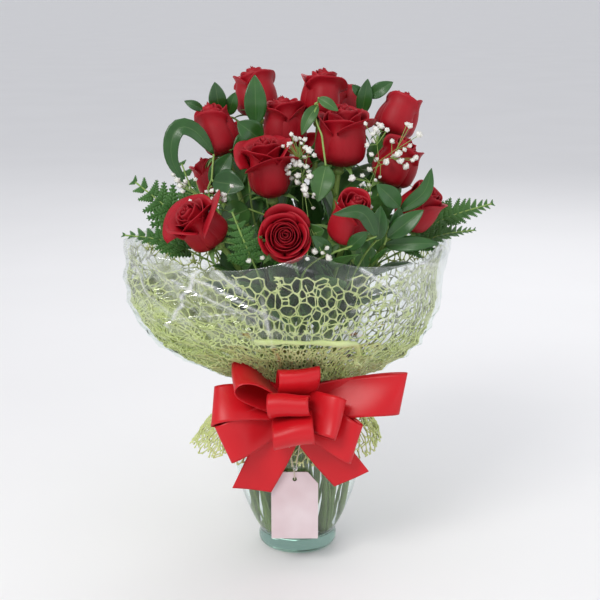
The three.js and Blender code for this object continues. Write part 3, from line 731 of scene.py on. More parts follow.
# ---------------------------------------------------------------- geometry nodes
class Generator:
    """Writes one Geometry Nodes tree, a node at a time, and runs it on meshes."""

    def __init__(self, name: str, sizes: dict[str, str]) -> None:
        """Starts the tree.

        Args:
            name: the tree's name.
            sizes: each input's name and its socket kind, such as Float or Int.
        """
        self.tree = bpy.data.node_groups.new(name, "GeometryNodeTree")
        new_socket = self.tree.interface.new_socket
        new_socket("Geometry", in_out="INPUT", socket_type="NodeSocketGeometry")
        for label, kind in sizes.items():
            new_socket(label, in_out="INPUT", socket_type="NodeSocket" + kind)
        new_socket("Geometry", in_out="OUTPUT", socket_type="NodeSocketGeometry")
        self.entry = self.tree.nodes.new("NodeGroupInput")
        self.exit = self.tree.nodes.new("NodeGroupOutput")

    def size(self, name: str) -> bpy.types.NodeSocket:
        """The socket of a named input."""
        return self.entry.outputs[name]

    def node(self, kind: str, inputs: dict | None = None, **settings: object) -> bpy.types.Node:
        """Adds a node: its class name without GeometryNode, its inputs and its settings."""
        prefix = "" if kind.startswith(("ShaderNode", "FunctionNode")) else "GeometryNode"
        made = self.tree.nodes.new(prefix + kind)
        for name, value in settings.items():
            setattr(made, name, value)
        for name, value in (inputs or {}).items():
            if isinstance(value, bpy.types.NodeSocket):
                self.tree.links.new(value, made.inputs[name])
            else:
                made.inputs[name].default_value = value
        return made

    def chance(self, low: object, high: object, salt: int, kind: str = "FLOAT") -> bpy.types.NodeSocket:
        """A random value or vector between two, from the tree's seed and a salt."""
        seed = self.node("ShaderNodeMath", {0: self.size("Seed"), 1: float(salt)}, operation="ADD").outputs[0]
        offset = 0 if kind == "FLOAT_VECTOR" else 2
        inputs = {offset: low, offset + 1: high, "Seed": seed}
        made = self.node("FunctionNodeRandomValue", inputs, data_type=kind)
        return made.outputs[0 if kind == "FLOAT_VECTOR" else 1]

    def tube(self, curve: bpy.types.NodeSocket, radius: object, sides: int) -> bpy.types.NodeSocket:
        """A closed tube along curves."""
        ring = self.node("CurvePrimitiveCircle", {"Resolution": sides, "Radius": radius})
        inputs = {"Curve": curve, "Profile Curve": ring.outputs["Curve"], "Fill Caps": True}
        return self.node("CurveToMesh", inputs).outputs["Mesh"]

    def dress(self, mesh: bpy.types.NodeSocket, material: bpy.types.Material) -> bpy.types.NodeSocket:
        """Realizes instances and sets their material."""
        real = self.node("RealizeInstances", {0: mesh}).outputs[0]
        return self.node("SetMaterial", {"Geometry": real, "Material": material}).outputs[0]

    def close(self, *parts: bpy.types.NodeSocket) -> "Generator":
        """Joins the dressed parts, shades them smooth, and connects the output."""
        join = self.node("JoinGeometry")
        for part in parts:
            self.tree.links.new(part, join.inputs[0])
        smooth = self.node("SetShadeSmooth", {"Geometry": join.outputs[0], "Shade Smooth": True})
        self.tree.links.new(smooth.outputs[0], self.exit.inputs[0])
        return self

    def run(self, source: bpy.types.Object, name: str, sizes: dict[str, object]) -> bpy.types.Object:
        """Runs the tree on an object.

        Args:
            source: the object whose mesh goes in; it is used up.
            name: the result's name.
            sizes: values for the named inputs.

        Returns:
            A new object with the plain result.
        """
        modifier = source.modifiers.new("generator", "NODES")
        modifier.node_group = self.tree
        for item in self.tree.interface.items_tree:
            if item.in_out == "INPUT" and item.name in sizes:
                modifier[item.identifier] = sizes[item.name]
        graph = bpy.context.evaluated_depsgraph_get()
        mesh = bpy.data.meshes.new_from_object(source.evaluated_get(graph), depsgraph=graph)
        mesh.name = name
        bpy.data.objects.remove(source)
        made = bpy.data.objects.new(name, mesh)
        bpy.context.scene.collection.objects.link(made)
        return made


def wire(name: str, points: np.ndarray, edges: Sequence[tuple[int, int]]) -> bpy.types.Object:
    """A mesh of edges only, for a generator to work on."""
    mesh = bpy.data.meshes.new(name)
    mesh.from_pydata(np.asarray(points).tolist(), [tuple(map(int, edge)) for edge in edges], [])
    made = bpy.data.objects.new(name, mesh)
    bpy.context.scene.collection.objects.link(made)
    return made


def polyline(name: str, points: np.ndarray) -> bpy.types.Object:
    """One line of points as edges."""
    return wire(name, points, [(i, i + 1) for i in range(len(points) - 1)])


def join(name: str, pieces: Sequence[bpy.types.Object]) -> bpy.types.Object:
    """Joins mesh objects into the first, which takes the name."""
    bpy.context.view_layer.update()
    with bpy.context.temp_override(
        active_object=pieces[0], object=pieces[0], selected_editable_objects=list(pieces),
        selected_objects=list(pieces),
    ):
        bpy.ops.object.join()
    pieces[0].name = name
    pieces[0].data.name = name
    return pieces[0]


# ---------------------------------------------------------------- leaves
@dataclass(frozen=True)
class LeafShape:
    """A leaf blade: how pointed, folded, drooping and toothed it is."""

    fullness: float = 0.8
    point: float = 0.9
    fold: float = 0.25
    droop: float = 0.25
    teeth: int = 0
    rows: int = 15
    cols: int = 7

    def grid(self, length: float, width: float, bend: float = 0.0) -> Grid:
        """The blade in its own axes.

        Args:
            length: from heel to tip, along X.
            width: across at the widest, along Y.
            bend: sideways curve as a share of the length.

        Returns:
            Rows from heel to tip, columns from edge to edge.
        """
        t, u = np.meshgrid(np.linspace(0, 1, self.rows), np.linspace(-1, 1, self.cols), indexing="ij")
        half = width / 2 * np.sin(math.pi * np.clip(t, 0.004, 0.996) ** self.fullness) ** self.point
        if self.teeth:
            half = half * (1 - 0.10 * ((t * self.teeth) % 1.0))
        x = length * t
        y = u * half + bend * length * t * t
        z = self.fold * np.abs(u) * half - self.droop * length * t * t
        return np.stack([x, y, z], 2)

    def add_to(
        self,
        patchwork: Patchwork,
        origin: np.ndarray,
        axes: np.ndarray,
        length: float,
        width: float,
        bend: float = 0.0,
        tint: float = 0.5,
        slot: int = 0,
    ) -> None:
        """Adds a leaf to a patchwork.

        Args:
            patchwork: what gathers it.
            origin: its heel.
            axes: its length, side and face directions as rows.
            length: from heel to tip.
            width: across at the widest.
            bend: sideways curve as a share of the length.
            tint: its tint.
            slot: its material slot.
        """
        grid = self.grid(length, width, bend)
        patchwork.add_grid(placed(grid.reshape(-1, 3), origin, axes).reshape(grid.shape), tint, slot)


@dataclass(frozen=True)
class Blade:
    """One leaf laid along a line from its heel to its tip, its face turned one way."""

    line: tuple[tuple[float, float, float], ...]
    width: float
    face: tuple[float, float, float] = (0.0, -1.0, 0.35)
    arch: float = 0.07
    fold: float = 0.28

    def add_to(self, patchwork: Patchwork, tint: float, slot: int = 0) -> None:
        """Adds the leaf to a patchwork, with a tint, in a material slot."""
        rows, cols = 23, 9
        line = through(np.array(self.line), rows)
        t = np.linspace(0, 1, rows)
        length = float(np.linalg.norm(np.diff(line, axis=0), axis=1).sum())
        line = line + self.arch * length * np.sin(math.pi * t)[:, None] * unit(np.array(self.face))
        along = np.gradient(line, axis=0)
        along /= np.linalg.norm(along, axis=1)[:, None]
        side = np.cross(np.array(self.face), along)
        side /= np.linalg.norm(side, axis=1)[:, None]
        out = np.cross(along, side)
        half = self.width / 2 * np.sin(math.pi * np.clip(t, 0.004, 0.996) ** 0.8) ** 0.8
        across = np.linspace(-1, 1, cols)[None, :, None]
        half = half[:, None, None]
        lift = self.fold * np.abs(across) ** 1.3 * half - 0.05 * half * np.sin(9 * t)[:, None, None]
        grid = line[:, None] + across * half * side[:, None] + lift * out[:, None]
        patchwork.add_grid(grid, tint, slot)


# ---------------------------------------------------------------- roses
@dataclass(frozen=True)
class PetalForm:
    """How far a bloom is open: petal count, and angles in radians from its axis."""

    petals: int
    heel: float
    closing: float
    lip_inner: float
    lip_outer: float
    half_inner: float
    half_outer: float
    drop: float
    roll: float
    slant: float = 0.22


class Bloom(Enum):
    """The stages of opening that the bouquet holds."""

    BUD = PetalForm(17, 1.10, 0.40, 0.06, 0.42, 2.3, 1.12, 0.07, 0.05)
    CUP = PetalForm(19, 1.15, 0.32, 0.10, 0.70, 2.2, 1.08, 0.10, 0.07)
    FLARED = PetalForm(19, 1.05, 0.26, 0.15, 1.45, 2.2, 1.02, 0.10, 0.10)
    OPEN = PetalForm(25, 1.20, 0.26, 0.20, 0.72, 2.0, 0.95, 0.20, 0.08)


@dataclass
class RoseBloom:
    """One bloom: overlapping petals on a spiral, from the rolled heart to the turned-back guard petals."""

    node: str
    stem: str
    form: PetalForm
    seed: int
    thickness: float = 0.00045
    rows: int = 20
    cols: int = 17

    def petal(self, share: float, place: BloomFrame, rng: np.random.Generator) -> Grid:
        """One petal.

        Args:
            share: 0 for the heart, 1 for the outermost.
            place: the bloom's frame.
            rng: the random source of this bloom.

        Returns:
            Rows from heel to lip, columns from edge to edge, in the bloom's own axes, before its turn.
        """
        form = self.form
        t, u = np.meshgrid(np.linspace(0, 1, self.rows) ** 0.85, np.linspace(-1, 1, self.cols), indexing="ij")
        half = form.half_inner + (form.half_outer - form.half_inner) * share**0.7
        lip = form.lip_inner + (form.lip_outer - form.lip_inner) * share**1.3
        lip = lip * rng.uniform(0.6, 1.25) * (0.75 + 0.45 * u * u)
        start = 0.84 - 0.10 * share
        lean = form.heel * (1 - smoothstep(t, 0.0, 0.42))
        lean = lean - form.closing * (1 - 0.72 * share) * smoothstep(t, 0.42, 0.8)
        lean = lean + lip * smoothstep(t, start, 1.04)
        outline = 1 - (0.10 + 0.15 * share) * np.abs(u) ** 2.8 + 0.006 * np.exp(-((u / 0.3) ** 2))
        outline = outline + 0.012 * np.sin(6 * u + rng.uniform(0, TAU))
        step = np.diff(t, axis=0, prepend=0) * outline
        rise, out = np.cumsum(np.cos(lean) * step, 0), np.cumsum(np.sin(lean) * step, 0)
        middle = self.cols // 2
        below = self.rows * 3 // 4
        height = place.height * (1.0 - form.drop * share) * (1 - 0.13 * share * rng.uniform())
        reach = place.radius * (0.11 + 0.85 * share**0.85)
        rise = rise / rise[:, middle].max() * height
        out = out / out[:below, middle].max() * reach
        roll = form.roll * place.radius * share
        out = out + roll * smoothstep(np.abs(u), 0.55, 1.0) * smoothstep(t, 0.4, 0.95)
        out = out * (1 + 0.05 * u)
        out = out + 0.012 * place.radius * np.sin(3.1 * u + rng.uniform(0, TAU)) * smoothstep(t, 0.5, 1.0)
        width = 0.72 + 0.28 * smoothstep(t, 0.0, 0.5)
        slant = form.slant * share * rng.uniform(-1, 1)
        angle = u * half * width + 0.35 * (1 - share) * t + slant * (t - 0.5)
        return np.stack([out * np.cos(angle), out * np.sin(angle), rise], 2)

    def build(self, material: bpy.types.Material) -> bpy.types.Object:
        """Makes the bloom in place of its CAD solid.

        Args:
            material: the petals' finish.

        Returns:
            The bloom.
        """
        rng = np.random.default_rng(self.seed)
        place = BloomFrame.of(Solid(self.node), Solid(self.stem))
        side = basis(np.cross(place.axis, [0.3, 1.0, 0.1]), place.axis)
        patchwork = Patchwork()
        golden = math.radians(137.5)
        spin = rng.uniform(0, TAU)
        for k in range(self.form.petals):
            share = k / (self.form.petals - 1)
            grid = self.petal(share, place, rng)
            turn = spin + k * golden
            c, s = math.cos(turn), math.sin(turn)
            spun = grid @ np.array([[c, s, 0], [-s, c, 0], [0, 0, 1]])
            # The tint is lower on the inner petals, which the petal finish darkens as painted shade, with a
            # random spread.
            tint = float(np.clip(0.35 + 0.3 * share + rng.uniform(-0.2, 0.2), 0, 1))
            patchwork.add_grid(placed(spun.reshape(-1, 3), place.base, side).reshape(grid.shape), tint)
        piece = patchwork.build(self.node + "_petals", [material])
        thicken(piece, self.thickness, -1)
        return finish_piece(piece, "petal", self.node)


SMOOTH_STALK = {"Thorns": 0, "Thorn size": 0.0, "Bare below": 1.0}


def stalk_tree(material: bpy.types.Material) -> Generator:
    """The tree of every stalk: a tube along its line, with thorns above a height.

    Args:
        material: the stalk's finish.

    Returns:
        The tree.
    """
    sizes = {"Radius": "Float", "Thorns": "Int", "Thorn size": "Float", "Bare below": "Float", "Seed": "Int"}
    tree = Generator("stalk", sizes)
    curve = tree.node("MeshToCurve", {0: tree.entry.outputs[0]}).outputs[0]
    tube = tree.tube(curve, tree.size("Radius"), 10)
    dots = tree.node("CurveToPoints", {"Curve": curve, "Count": tree.size("Thorns")}, mode="COUNT")
    height = tree.node("ShaderNodeSeparateXYZ", {0: tree.node("InputPosition").outputs[0]}).outputs["Z"]
    above = {0: height, 1: tree.size("Bare below")}
    keep = tree.node("FunctionNodeCompare", above, data_type="FLOAT", operation="GREATER_THAN").outputs[0]
    cone = tree.node("MeshCone", {"Vertices": 6, "Radius Top": 0.02, "Radius Bottom": 0.42, "Depth": 1.0})
    aim = {"Geometry": cone.outputs["Mesh"], "Rotation": (0.0, 1.25, 0.0), "Translation": (0.75, 0.0, 0.0)}
    thorn = tree.node("Transform", aim).outputs[0]
    twist = tree.node("ShaderNodeCombineXYZ", {2: tree.chance(0.0, TAU, 1)}).outputs[0]
    spun = {"Rotation": dots.outputs["Rotation"], "Rotate By": twist}
    turn = tree.node("FunctionNodeRotateRotation", spun, rotation_space="LOCAL").outputs[0]
    inputs = {
        "Points": dots.outputs["Points"],
        "Selection": keep,
        "Instance": thorn,
        "Rotation": turn,
        "Scale": tree.size("Thorn size"),
    }
    thorns = tree.node("InstanceOnPoints", inputs).outputs[0]
    return tree.close(tree.dress(tube, material), tree.dress(thorns, material))


@dataclass
class RoseStem:
    """A stem with its thorns, the hip and sepals under the bloom, and a few leaves inside the wrap."""

    node: str
    bloom: str
    seed: int
    radius: float = 0.0025
    hip_radius: float = 0.0052
    hip_length: float = 0.008
    sepal_length: float = 0.026
    sepal_width: float = 0.0072
    leaf_length: float = 0.050
    leaf_width: float = 0.034
    leaf_heights: tuple[float, float] = (0.235, 0.385)
    leaves: int = 8
    leaf_shape: LeafShape = LeafShape(0.78, 0.75, 0.22, 0.18, 9, 19, 7)
    blades: tuple[Blade, ...] = ()
    thorns: int = 15
    thorn_size: float = 0.0042
    bare_below: float = 0.19
    twig_radius: float = 0.0009
    twig_slope: float = 0.4
    twig_clearance: float = 0.002
    bloom_shoulder: tuple[float, float] = (0.012, 0.03)

    def sepals(self, patchwork: Patchwork, place: BloomFrame, rng: np.random.Generator) -> None:
        """Adds five sepals that turn back from under the bloom."""
        across = basis(np.cross(place.axis, [0.3, 1.0, 0.1]), place.axis)
        for k in range(5):
            turn = TAU * k / 5 + rng.uniform(-0.2, 0.2)
            out = across[0] * math.cos(turn) + across[1] * math.sin(turn)
            t, u = np.meshgrid(np.linspace(0, 1, 12), np.linspace(-1, 1, 5), indexing="ij")
            length = self.sepal_length * rng.uniform(0.8, 1.15)
            lean = 0.9 + rng.uniform(0.5, 1.9) * t**0.8
            step = length / 11 * np.ones_like(t)
            away = self.hip_radius * 0.8 + np.cumsum(np.sin(lean) * step, 0)
            rise = np.cumsum(np.cos(lean) * step, 0)
            half = self.sepal_width / 2 * (1 - t) ** 0.75 * (0.75 + 0.5 * np.sin(math.pi * t))
            side = np.cross(place.axis, out)
            cup = 0.35 * np.abs(u) * half
            grid = (
                place.base
                + away[..., None] * out
                + (rise + cup)[..., None] * place.axis
                + (u * half)[..., None] * side
            )
            patchwork.add_grid(grid, rng.uniform(0.3, 0.9), 0)

    def foliage(self, patchwork: Patchwork, line: np.ndarray, rng: np.random.Generator) -> None:
        """Adds toothed leaves along the stretch of the stem that the wrap hides."""
        top = min(self.leaf_heights[1], float(line[-1, 2]) - 0.03)
        for height in np.linspace(self.leaf_heights[0], top, self.leaves):
            index = int(np.argmin(np.abs(line[:, 2] - height)))
            origin = line[index]
            turn = rng.uniform(0, TAU)
            forward = np.array([math.cos(turn), math.sin(turn), rng.uniform(0.5, 1.4)])
            outward = unit(np.array([origin[0], origin[1], 0.05]))
            forward = unit(forward + outward * rng.uniform(0.3, 1.5))
            axes = basis(forward, np.array([0.0, 0.0, 1.0]) + outward * 0.6)
            length = self.leaf_length * rng.uniform(0.8, 1.15)
            width = self.leaf_width * rng.uniform(0.85, 1.1)
            bend, tint = rng.uniform(-0.12, 0.12), rng.uniform(0, 1)
            self.leaf_shape.add_to(patchwork, origin, axes, length, width, bend, tint, 1)

    def build(
        self, tree: Generator, sepal: bpy.types.Material, leaf: bpy.types.Material, stem: bpy.types.Material
    ) -> bpy.types.Object:
        """Makes the stem in place of its CAD solid.

        Args:
            tree: the stalk generator.
            sepal: the sepals' finish.
            leaf: the leaves' finish.
            stem: the hip's finish.

        Returns:
            The stem.
        """
        rng = np.random.default_rng(self.seed)
        solid = Solid(self.node)
        place = BloomFrame.of(Solid(self.bloom), solid)
        low = solid.points[:, 2].min() + 0.0006
        high = place.base[2] - 0.012
        hip_foot = place.base - place.axis * self.hip_length
        middle = solid.stalk(low, high, 12)
        line = through(np.array([*middle, hip_foot, place.base]), 48)
        sizes = {
            "Radius": self.radius,
            "Thorns": self.thorns,
            "Thorn size": self.thorn_size,
            "Bare below": self.bare_below,
            "Seed": self.seed,
        }
        tube = tree.run(polyline("line", line), self.node + "_stalk", sizes)
        patchwork = Patchwork()
        self.sepals(patchwork, place, rng)
        self.foliage(patchwork, line, rng)
        twigs, forks = [], []
        for blade in self.blades:
            blade.add_to(patchwork, 0.0, 1)
            twigs.append(self.twig(tree, line, np.array(blade.line[0]), place, forks))
            forks.append(np.array(blade.line[0]))
        green = patchwork.build("green", [sepal, leaf])
        thicken(green, 0.0004, 0)
        hip = self.hip(place, stem)
        return finish_piece(join(self.node + "_stalk", [tube, green, hip, *twigs]), "stem", self.node)

    def twig(
        self,
        tree: Generator,
        line: np.ndarray,
        heel: np.ndarray,
        place: BloomFrame,
        forks: list[np.ndarray],
    ) -> bpy.types.Object:
        """Makes the leaf stalk from the stem up to a leaf's heel, round the outside of the bloom.

        Args:
            tree: the stalk generator.
            line: the stem's line.
            heel: the leaf's heel.
            place: the bloom's frame.
            forks: the heels that earlier leaf stalks reach, where this one may begin instead.

        Returns:
            The leaf stalk.
        """
        gap = np.linalg.norm(line - heel, axis=1)
        ceiling = min(heel[2], place.base[2] - self.hip_length) - self.twig_slope * gap.min()
        below = line[:, 2] < ceiling
        start = line[int(np.argmin(np.where(below, gap, np.inf)))]
        start = min([start, *forks], key=lambda point: float(np.linalg.norm(heel - point)))
        share = np.linspace(0, 1, 9)[:, None]
        way = start + (heel - start) * share
        rise = (way - place.base) @ place.axis
        out = way - place.base - rise[:, None] * place.axis
        span = np.linalg.norm(out, axis=1)
        start_of_cup, cup = self.bloom_shoulder
        swell = np.sqrt(np.clip((rise + start_of_cup) / cup, 0, 1))
        room = (place.radius + self.twig_clearance) * swell * (rise < place.height)
        reach = heel - place.base
        away = unit(reach - (reach @ place.axis) * place.axis)
        way[1:-1] += (np.maximum(0, room - span)[:, None] * away)[1:-1]
        log.info("%s: leaf stalk of %.0f mm", self.node, 1000 * np.linalg.norm(heel - start))
        sizes = {"Radius": self.twig_radius, **SMOOTH_STALK, "Seed": self.seed}
        return tree.run(polyline("line", through(way, 20)), "twig", sizes)

    def hip(self, place: BloomFrame, stem: bpy.types.Material) -> bpy.types.Object:
        """Makes the swollen hip where the bloom joins the stem."""
        t = np.linspace(0, 1, 9)
        radius = self.radius * 0.4 + (self.hip_radius - self.radius * 0.4) * np.sin(math.pi * t**0.8)
        radius[0] = radius[-1] = 0.0002
        turn = np.linspace(0, TAU, 14, endpoint=False)
        side = basis(np.cross(place.axis, [0.3, 1.0, 0.1]), place.axis)
        rise = (t - 0.8) * self.hip_length * 1.25
        ring = np.stack([np.cos(turn), np.sin(turn)], 1)
        grid = np.concatenate(
            [radius[:, None, None] * ring[None], np.broadcast_to(rise[:, None, None], (9, 14, 1))], 2
        )
        patchwork = Patchwork()
        grid = placed(grid.reshape(-1, 3), place.base, side).reshape(grid.shape)
        patchwork.add_grid(grid, 0.5, 0, wrap=True)
        made = patchwork.build("hip", [stem])
        close_ends(made)
        return made


def close_ends(piece: bpy.types.Object) -> None:
    """Fills the open rims of a tube or lathe and turns its faces outwards."""
    work = bmesh.new()
    work.from_mesh(piece.data)
    rims = [edge for edge in work.edges if edge.is_boundary]
    bmesh.ops.holes_fill(work, edges=rims, sides=0)
    bmesh.ops.recalc_face_normals(work, faces=work.faces)
    for face in work.faces:
        face.smooth = True
    work.to_mesh(piece.data)
    work.free()


# ---------------------------------------------------------------- greenery
@dataclass
class RuscusSprig:
    """A stalk with its glossy pointed leaves, each on a short twig."""

    node: str
    base: tuple[float, float, float]
    blades: tuple[Blade, ...]
    seed: int
    radius: float = 0.0010

    def build(self, tree: Generator, leaf: bpy.types.Material) -> bpy.types.Object:
        """Makes the sprig in place of its CAD solid.

        Args:
            tree: the stalk generator.
            leaf: the leaves' finish.

        Returns:
            The sprig.
        """
        rng = np.random.default_rng(self.seed)
        base = np.array(self.base)
        solid = Solid(self.node)
        lower = solid.stalk(solid.points[:, 2].min() + 0.0006, base[2] - 0.02, 8)
        heels = np.array([blade.line[0] for blade in self.blades])
        crown = base + (heels.mean(0) - base) * 0.75
        line = through(np.array([*lower, base, crown]), 40)
        points, edges = [*line], [(i, i + 1) for i in range(len(line) - 1)]
        for heel in heels:
            near = int(np.argmin(np.linalg.norm(line - heel, axis=1)))
            points.append(heel)
            edges.append((near, len(points) - 1))
        sizes = {"Radius": self.radius, **SMOOTH_STALK, "Seed": self.seed}
        stalk = tree.run(wire("line", np.array(points), edges), "stalk", sizes)
        patchwork = Patchwork()
        for blade in self.blades:
            blade.add_to(patchwork, rng.uniform(0.2, 1))
        leaves = patchwork.build("blades", [leaf])
        thicken(leaves, 0.0004, 0)
        return finish_piece(join(self.node + "_leaves", [stalk, leaves]), "ruscus_leaf", self.node)


def frond_tree(pinna: bpy.types.Object, leaf: bpy.types.Material, stalk: bpy.types.Material) -> Generator:
    """The tree of a fern frond: a thin stalk, with a pinna to each side at every joint.

    Args:
        pinna: the mesh of one pinna, one unit long.
        leaf: the blades' finish.
        stalk: the stalk's finish.

    Returns:
        The tree.
    """
    sizes = {
        "Radius": "Float",
        "Joints": "Int",
        "Pinna length": "Float",
        "Sweep": "Float",
        "Lift": "Float",
        "Face": "Vector",
        "Seed": "Int",
    }
    tree = Generator("frond", sizes)
    curve = tree.node("MeshToCurve", {0: tree.entry.outputs[0]}).outputs[0]
    tube = tree.tube(curve, tree.size("Radius"), 6)
    dots = tree.node("CurveToPoints", {"Curve": curve, "Count": tree.size("Joints")}, mode="COUNT")
    first = {"Vector": dots.outputs["Tangent"]}
    along = tree.node("FunctionNodeAlignRotationToVector", first, axis="X").outputs[0]
    second = {"Rotation": along, "Vector": tree.size("Face")}
    flat = tree.node("FunctionNodeAlignRotationToVector", second, axis="Z", pivot_axis="X").outputs[0]
    info = tree.node("ObjectInfo", {"Object": pinna, "As Instance": False}, transform_space="ORIGINAL")
    index = tree.node("InputIndex").outputs[0]
    last = tree.node("ShaderNodeMath", {0: tree.size("Joints"), 1: 1.0}, operation="SUBTRACT").outputs[0]
    share = tree.node("ShaderNodeMath", {0: index, 1: last}, operation="DIVIDE").outputs[0]
    taper = tree.node("ShaderNodeMapRange", {0: share, 1: 0.0, 2: 1.0, 3: 1.0, 4: 0.16}).outputs[0]
    parts = [tree.dress(tube, stalk)]
    for sign, salt in ((1.0, 3), (-1.0, 7)):
        sweep = tree.node("ShaderNodeMath", {0: tree.size("Sweep"), 1: sign}, operation="MULTIPLY").outputs[0]
        jitter = tree.chance(-0.12, 0.12, salt)
        turn = tree.node("ShaderNodeMath", {0: sweep, 1: jitter}, operation="ADD").outputs[0]
        raised = {0: tree.size("Lift"), 1: tree.chance(0.4, 1.4, salt + 1)}
        lift = tree.node("ShaderNodeMath", raised, operation="MULTIPLY").outputs[0]
        spin = tree.node("ShaderNodeCombineXYZ", {1: lift, 2: turn}).outputs[0]
        aim = {"Rotation": flat, "Rotate By": spin}
        rotation = tree.node("FunctionNodeRotateRotation", aim, rotation_space="LOCAL").outputs[0]
        length = {0: taper, 1: tree.size("Pinna length")}
        size = tree.node("ShaderNodeMath", length, operation="MULTIPLY").outputs[0]
        inputs = {
            "Points": dots.outputs["Points"],
            "Instance": info.outputs["Geometry"],
            "Rotation": rotation,
            "Scale": size,
        }
        parts.append(tree.dress(tree.node("InstanceOnPoints", inputs).outputs[0], leaf))
    return tree.close(*parts)


def pinna_mesh(leaf: bpy.types.Material, lobes: int, reach: float, breadth: float) -> bpy.types.Object:
    """One fern pinna, a unit long: lobes down both sides of its vein, thickened.

    Args:
        leaf: its finish.
        lobes: how many on each side.
        reach: the longest lobe's length, as a share of the pinna.
        breadth: a lobe's width against its length.

    Returns:
        The pinna.
    """
    lobe = LeafShape(0.75, 0.6, 0.15, 0.10, 0, 6, 3)
    patchwork = Patchwork()
    lobe.add_to(patchwork, np.zeros(3), np.eye(3), 1.0, 0.55 * reach, tint=0.4)
    for k in range(lobes):
        share = 0.06 + 0.8 * k / (lobes - 1)
        size = reach * (1 - 0.78 * share)
        for side in (-1, 1):
            forward = np.array([math.cos(0.95), side * math.sin(0.95), 0.05])
            origin = np.array([share, 0.0, -0.10 * share * share])
            axes = basis(forward, np.array([0, 0, 1.0]))
            lobe.add_to(patchwork, origin, axes, size, size * breadth, tint=0.3 + 0.4 * share)
    made = patchwork.build("pinna", [leaf])
    thicken(made, 0.010, 0)
    return made


@dataclass
class FernFrond:
    """A leatherleaf fern frond, broad at its foot."""

    node: str
    base: tuple[float, float, float]
    tip: tuple[float, float, float]
    face: tuple[float, float, float]
    width: float
    broad: bool
    seed: int

    def build(self, tree: Generator, stalks: Generator) -> bpy.types.Object:
        """Makes the frond in place of its CAD solid.

        Args:
            tree: the frond generator, of broad or fine pinnae.
            stalks: the stalk generator.

        Returns:
            The frond.
        """
        base, tip, face = (np.array(v) for v in (self.base, self.tip, self.face))
        solid = Solid(self.node)
        lower = solid.stalk(solid.points[:, 2].min() + 0.0006, base[2] - 0.02, 8)
        length = float(np.linalg.norm(tip - base))
        bow = unit(face) * length * 0.07
        stalk = through(np.array([*lower, base]), 24)
        blade = through(np.array([base, (base + tip) / 2 + bow, tip]), 24)
        sizes = {
            "Radius": 0.0009,
            "Joints": 8 if self.broad else 14,
            "Pinna length": self.width * (0.66 if self.broad else 0.58),
            "Sweep": 1.0,
            "Lift": -0.25,
            "Face": tuple(unit(face)),
            "Seed": self.seed,
        }
        top = tree.run(polyline("blade", blade), "blade", sizes)
        bare = {"Radius": 0.0009, "Thorns": 0, "Thorn size": 0.0, "Bare below": 1.0, "Seed": self.seed}
        foot = stalks.run(polyline("foot", stalk), "foot", bare)
        return finish_piece(join(self.node + "_frond", [top, foot]), "fern_leaf", self.node)


def spray_tree(flower: bpy.types.Object, stalk: bpy.types.Material) -> Generator:
    """The tree of a gypsophila spray: thread-thin branches, with a flowerlet on each marked point.

    Args:
        flower: the mesh of one flowerlet, one unit across.
        stalk: the branches' finish.

    Returns:
        The tree.
    """
    sizes = {"Radius": "Float", "Flower size": "Float", "Seed": "Int"}
    tree = Generator("spray", sizes)
    source = tree.entry.outputs[0]
    curve = tree.node("MeshToCurve", {0: source}).outputs[0]
    tube = tree.tube(curve, tree.size("Radius"), 5)
    mark = tree.node("InputNamedAttribute", {"Name": "flower"}, data_type="FLOAT").outputs["Attribute"]
    marked = {0: mark, 1: 0.5}
    keep = tree.node("FunctionNodeCompare", marked, data_type="FLOAT", operation="GREATER_THAN").outputs[0]
    info = tree.node("ObjectInfo", {"Object": flower, "As Instance": False}, transform_space="ORIGINAL")
    spin = tree.chance((-0.9, -0.9, 0.0), (0.9, 0.9, TAU), 5, "FLOAT_VECTOR")
    turn = tree.node("FunctionNodeEulerToRotation", {0: spin}).outputs[0]
    size = tree.chance(0.5, 1.15, 6)
    sized = {0: size, 1: tree.size("Flower size")}
    scale = tree.node("ShaderNodeMath", sized, operation="MULTIPLY").outputs[0]
    points = tree.node("MeshToPoints", {"Mesh": source, "Selection": keep}).outputs[0]
    inputs = {"Points": points, "Instance": info.outputs["Geometry"], "Rotation": turn, "Scale": scale}
    flowers = tree.node("RealizeInstances", {0: tree.node("InstanceOnPoints", inputs).outputs[0]}).outputs[0]
    return tree.close(tree.dress(tube, stalk), flowers)


def flowerlet_mesh(white: bpy.types.Material) -> bpy.types.Object:
    """One double flowerlet, a unit across: a rounded head of two tiers of scalloped petals."""
    polar = np.array([0.0, 0.34, 0.62, 0.80, 1.15, 1.75, math.pi])[:, None]
    reach = np.array([0.42, 0.50, 0.34, 0.46, 0.50, 0.40, 0.34])[:, None]
    turn = np.linspace(0, TAU, 10, endpoint=False)[None, :]
    scallop = 1 + np.array([0, 0.16, 0.10, -0.16, -0.20, -0.10, 0])[:, None] * np.cos(5 * turn)
    radius = reach * scallop
    level = radius * np.sin(polar)
    grid = [level * np.cos(turn), level * np.sin(turn), radius * np.cos(polar)]
    patchwork = Patchwork()
    patchwork.add_grid(np.stack(np.broadcast_arrays(*grid), 2)[::-1], 0.5, 0, wrap=True)
    return patchwork.build("flowerlet", [white])


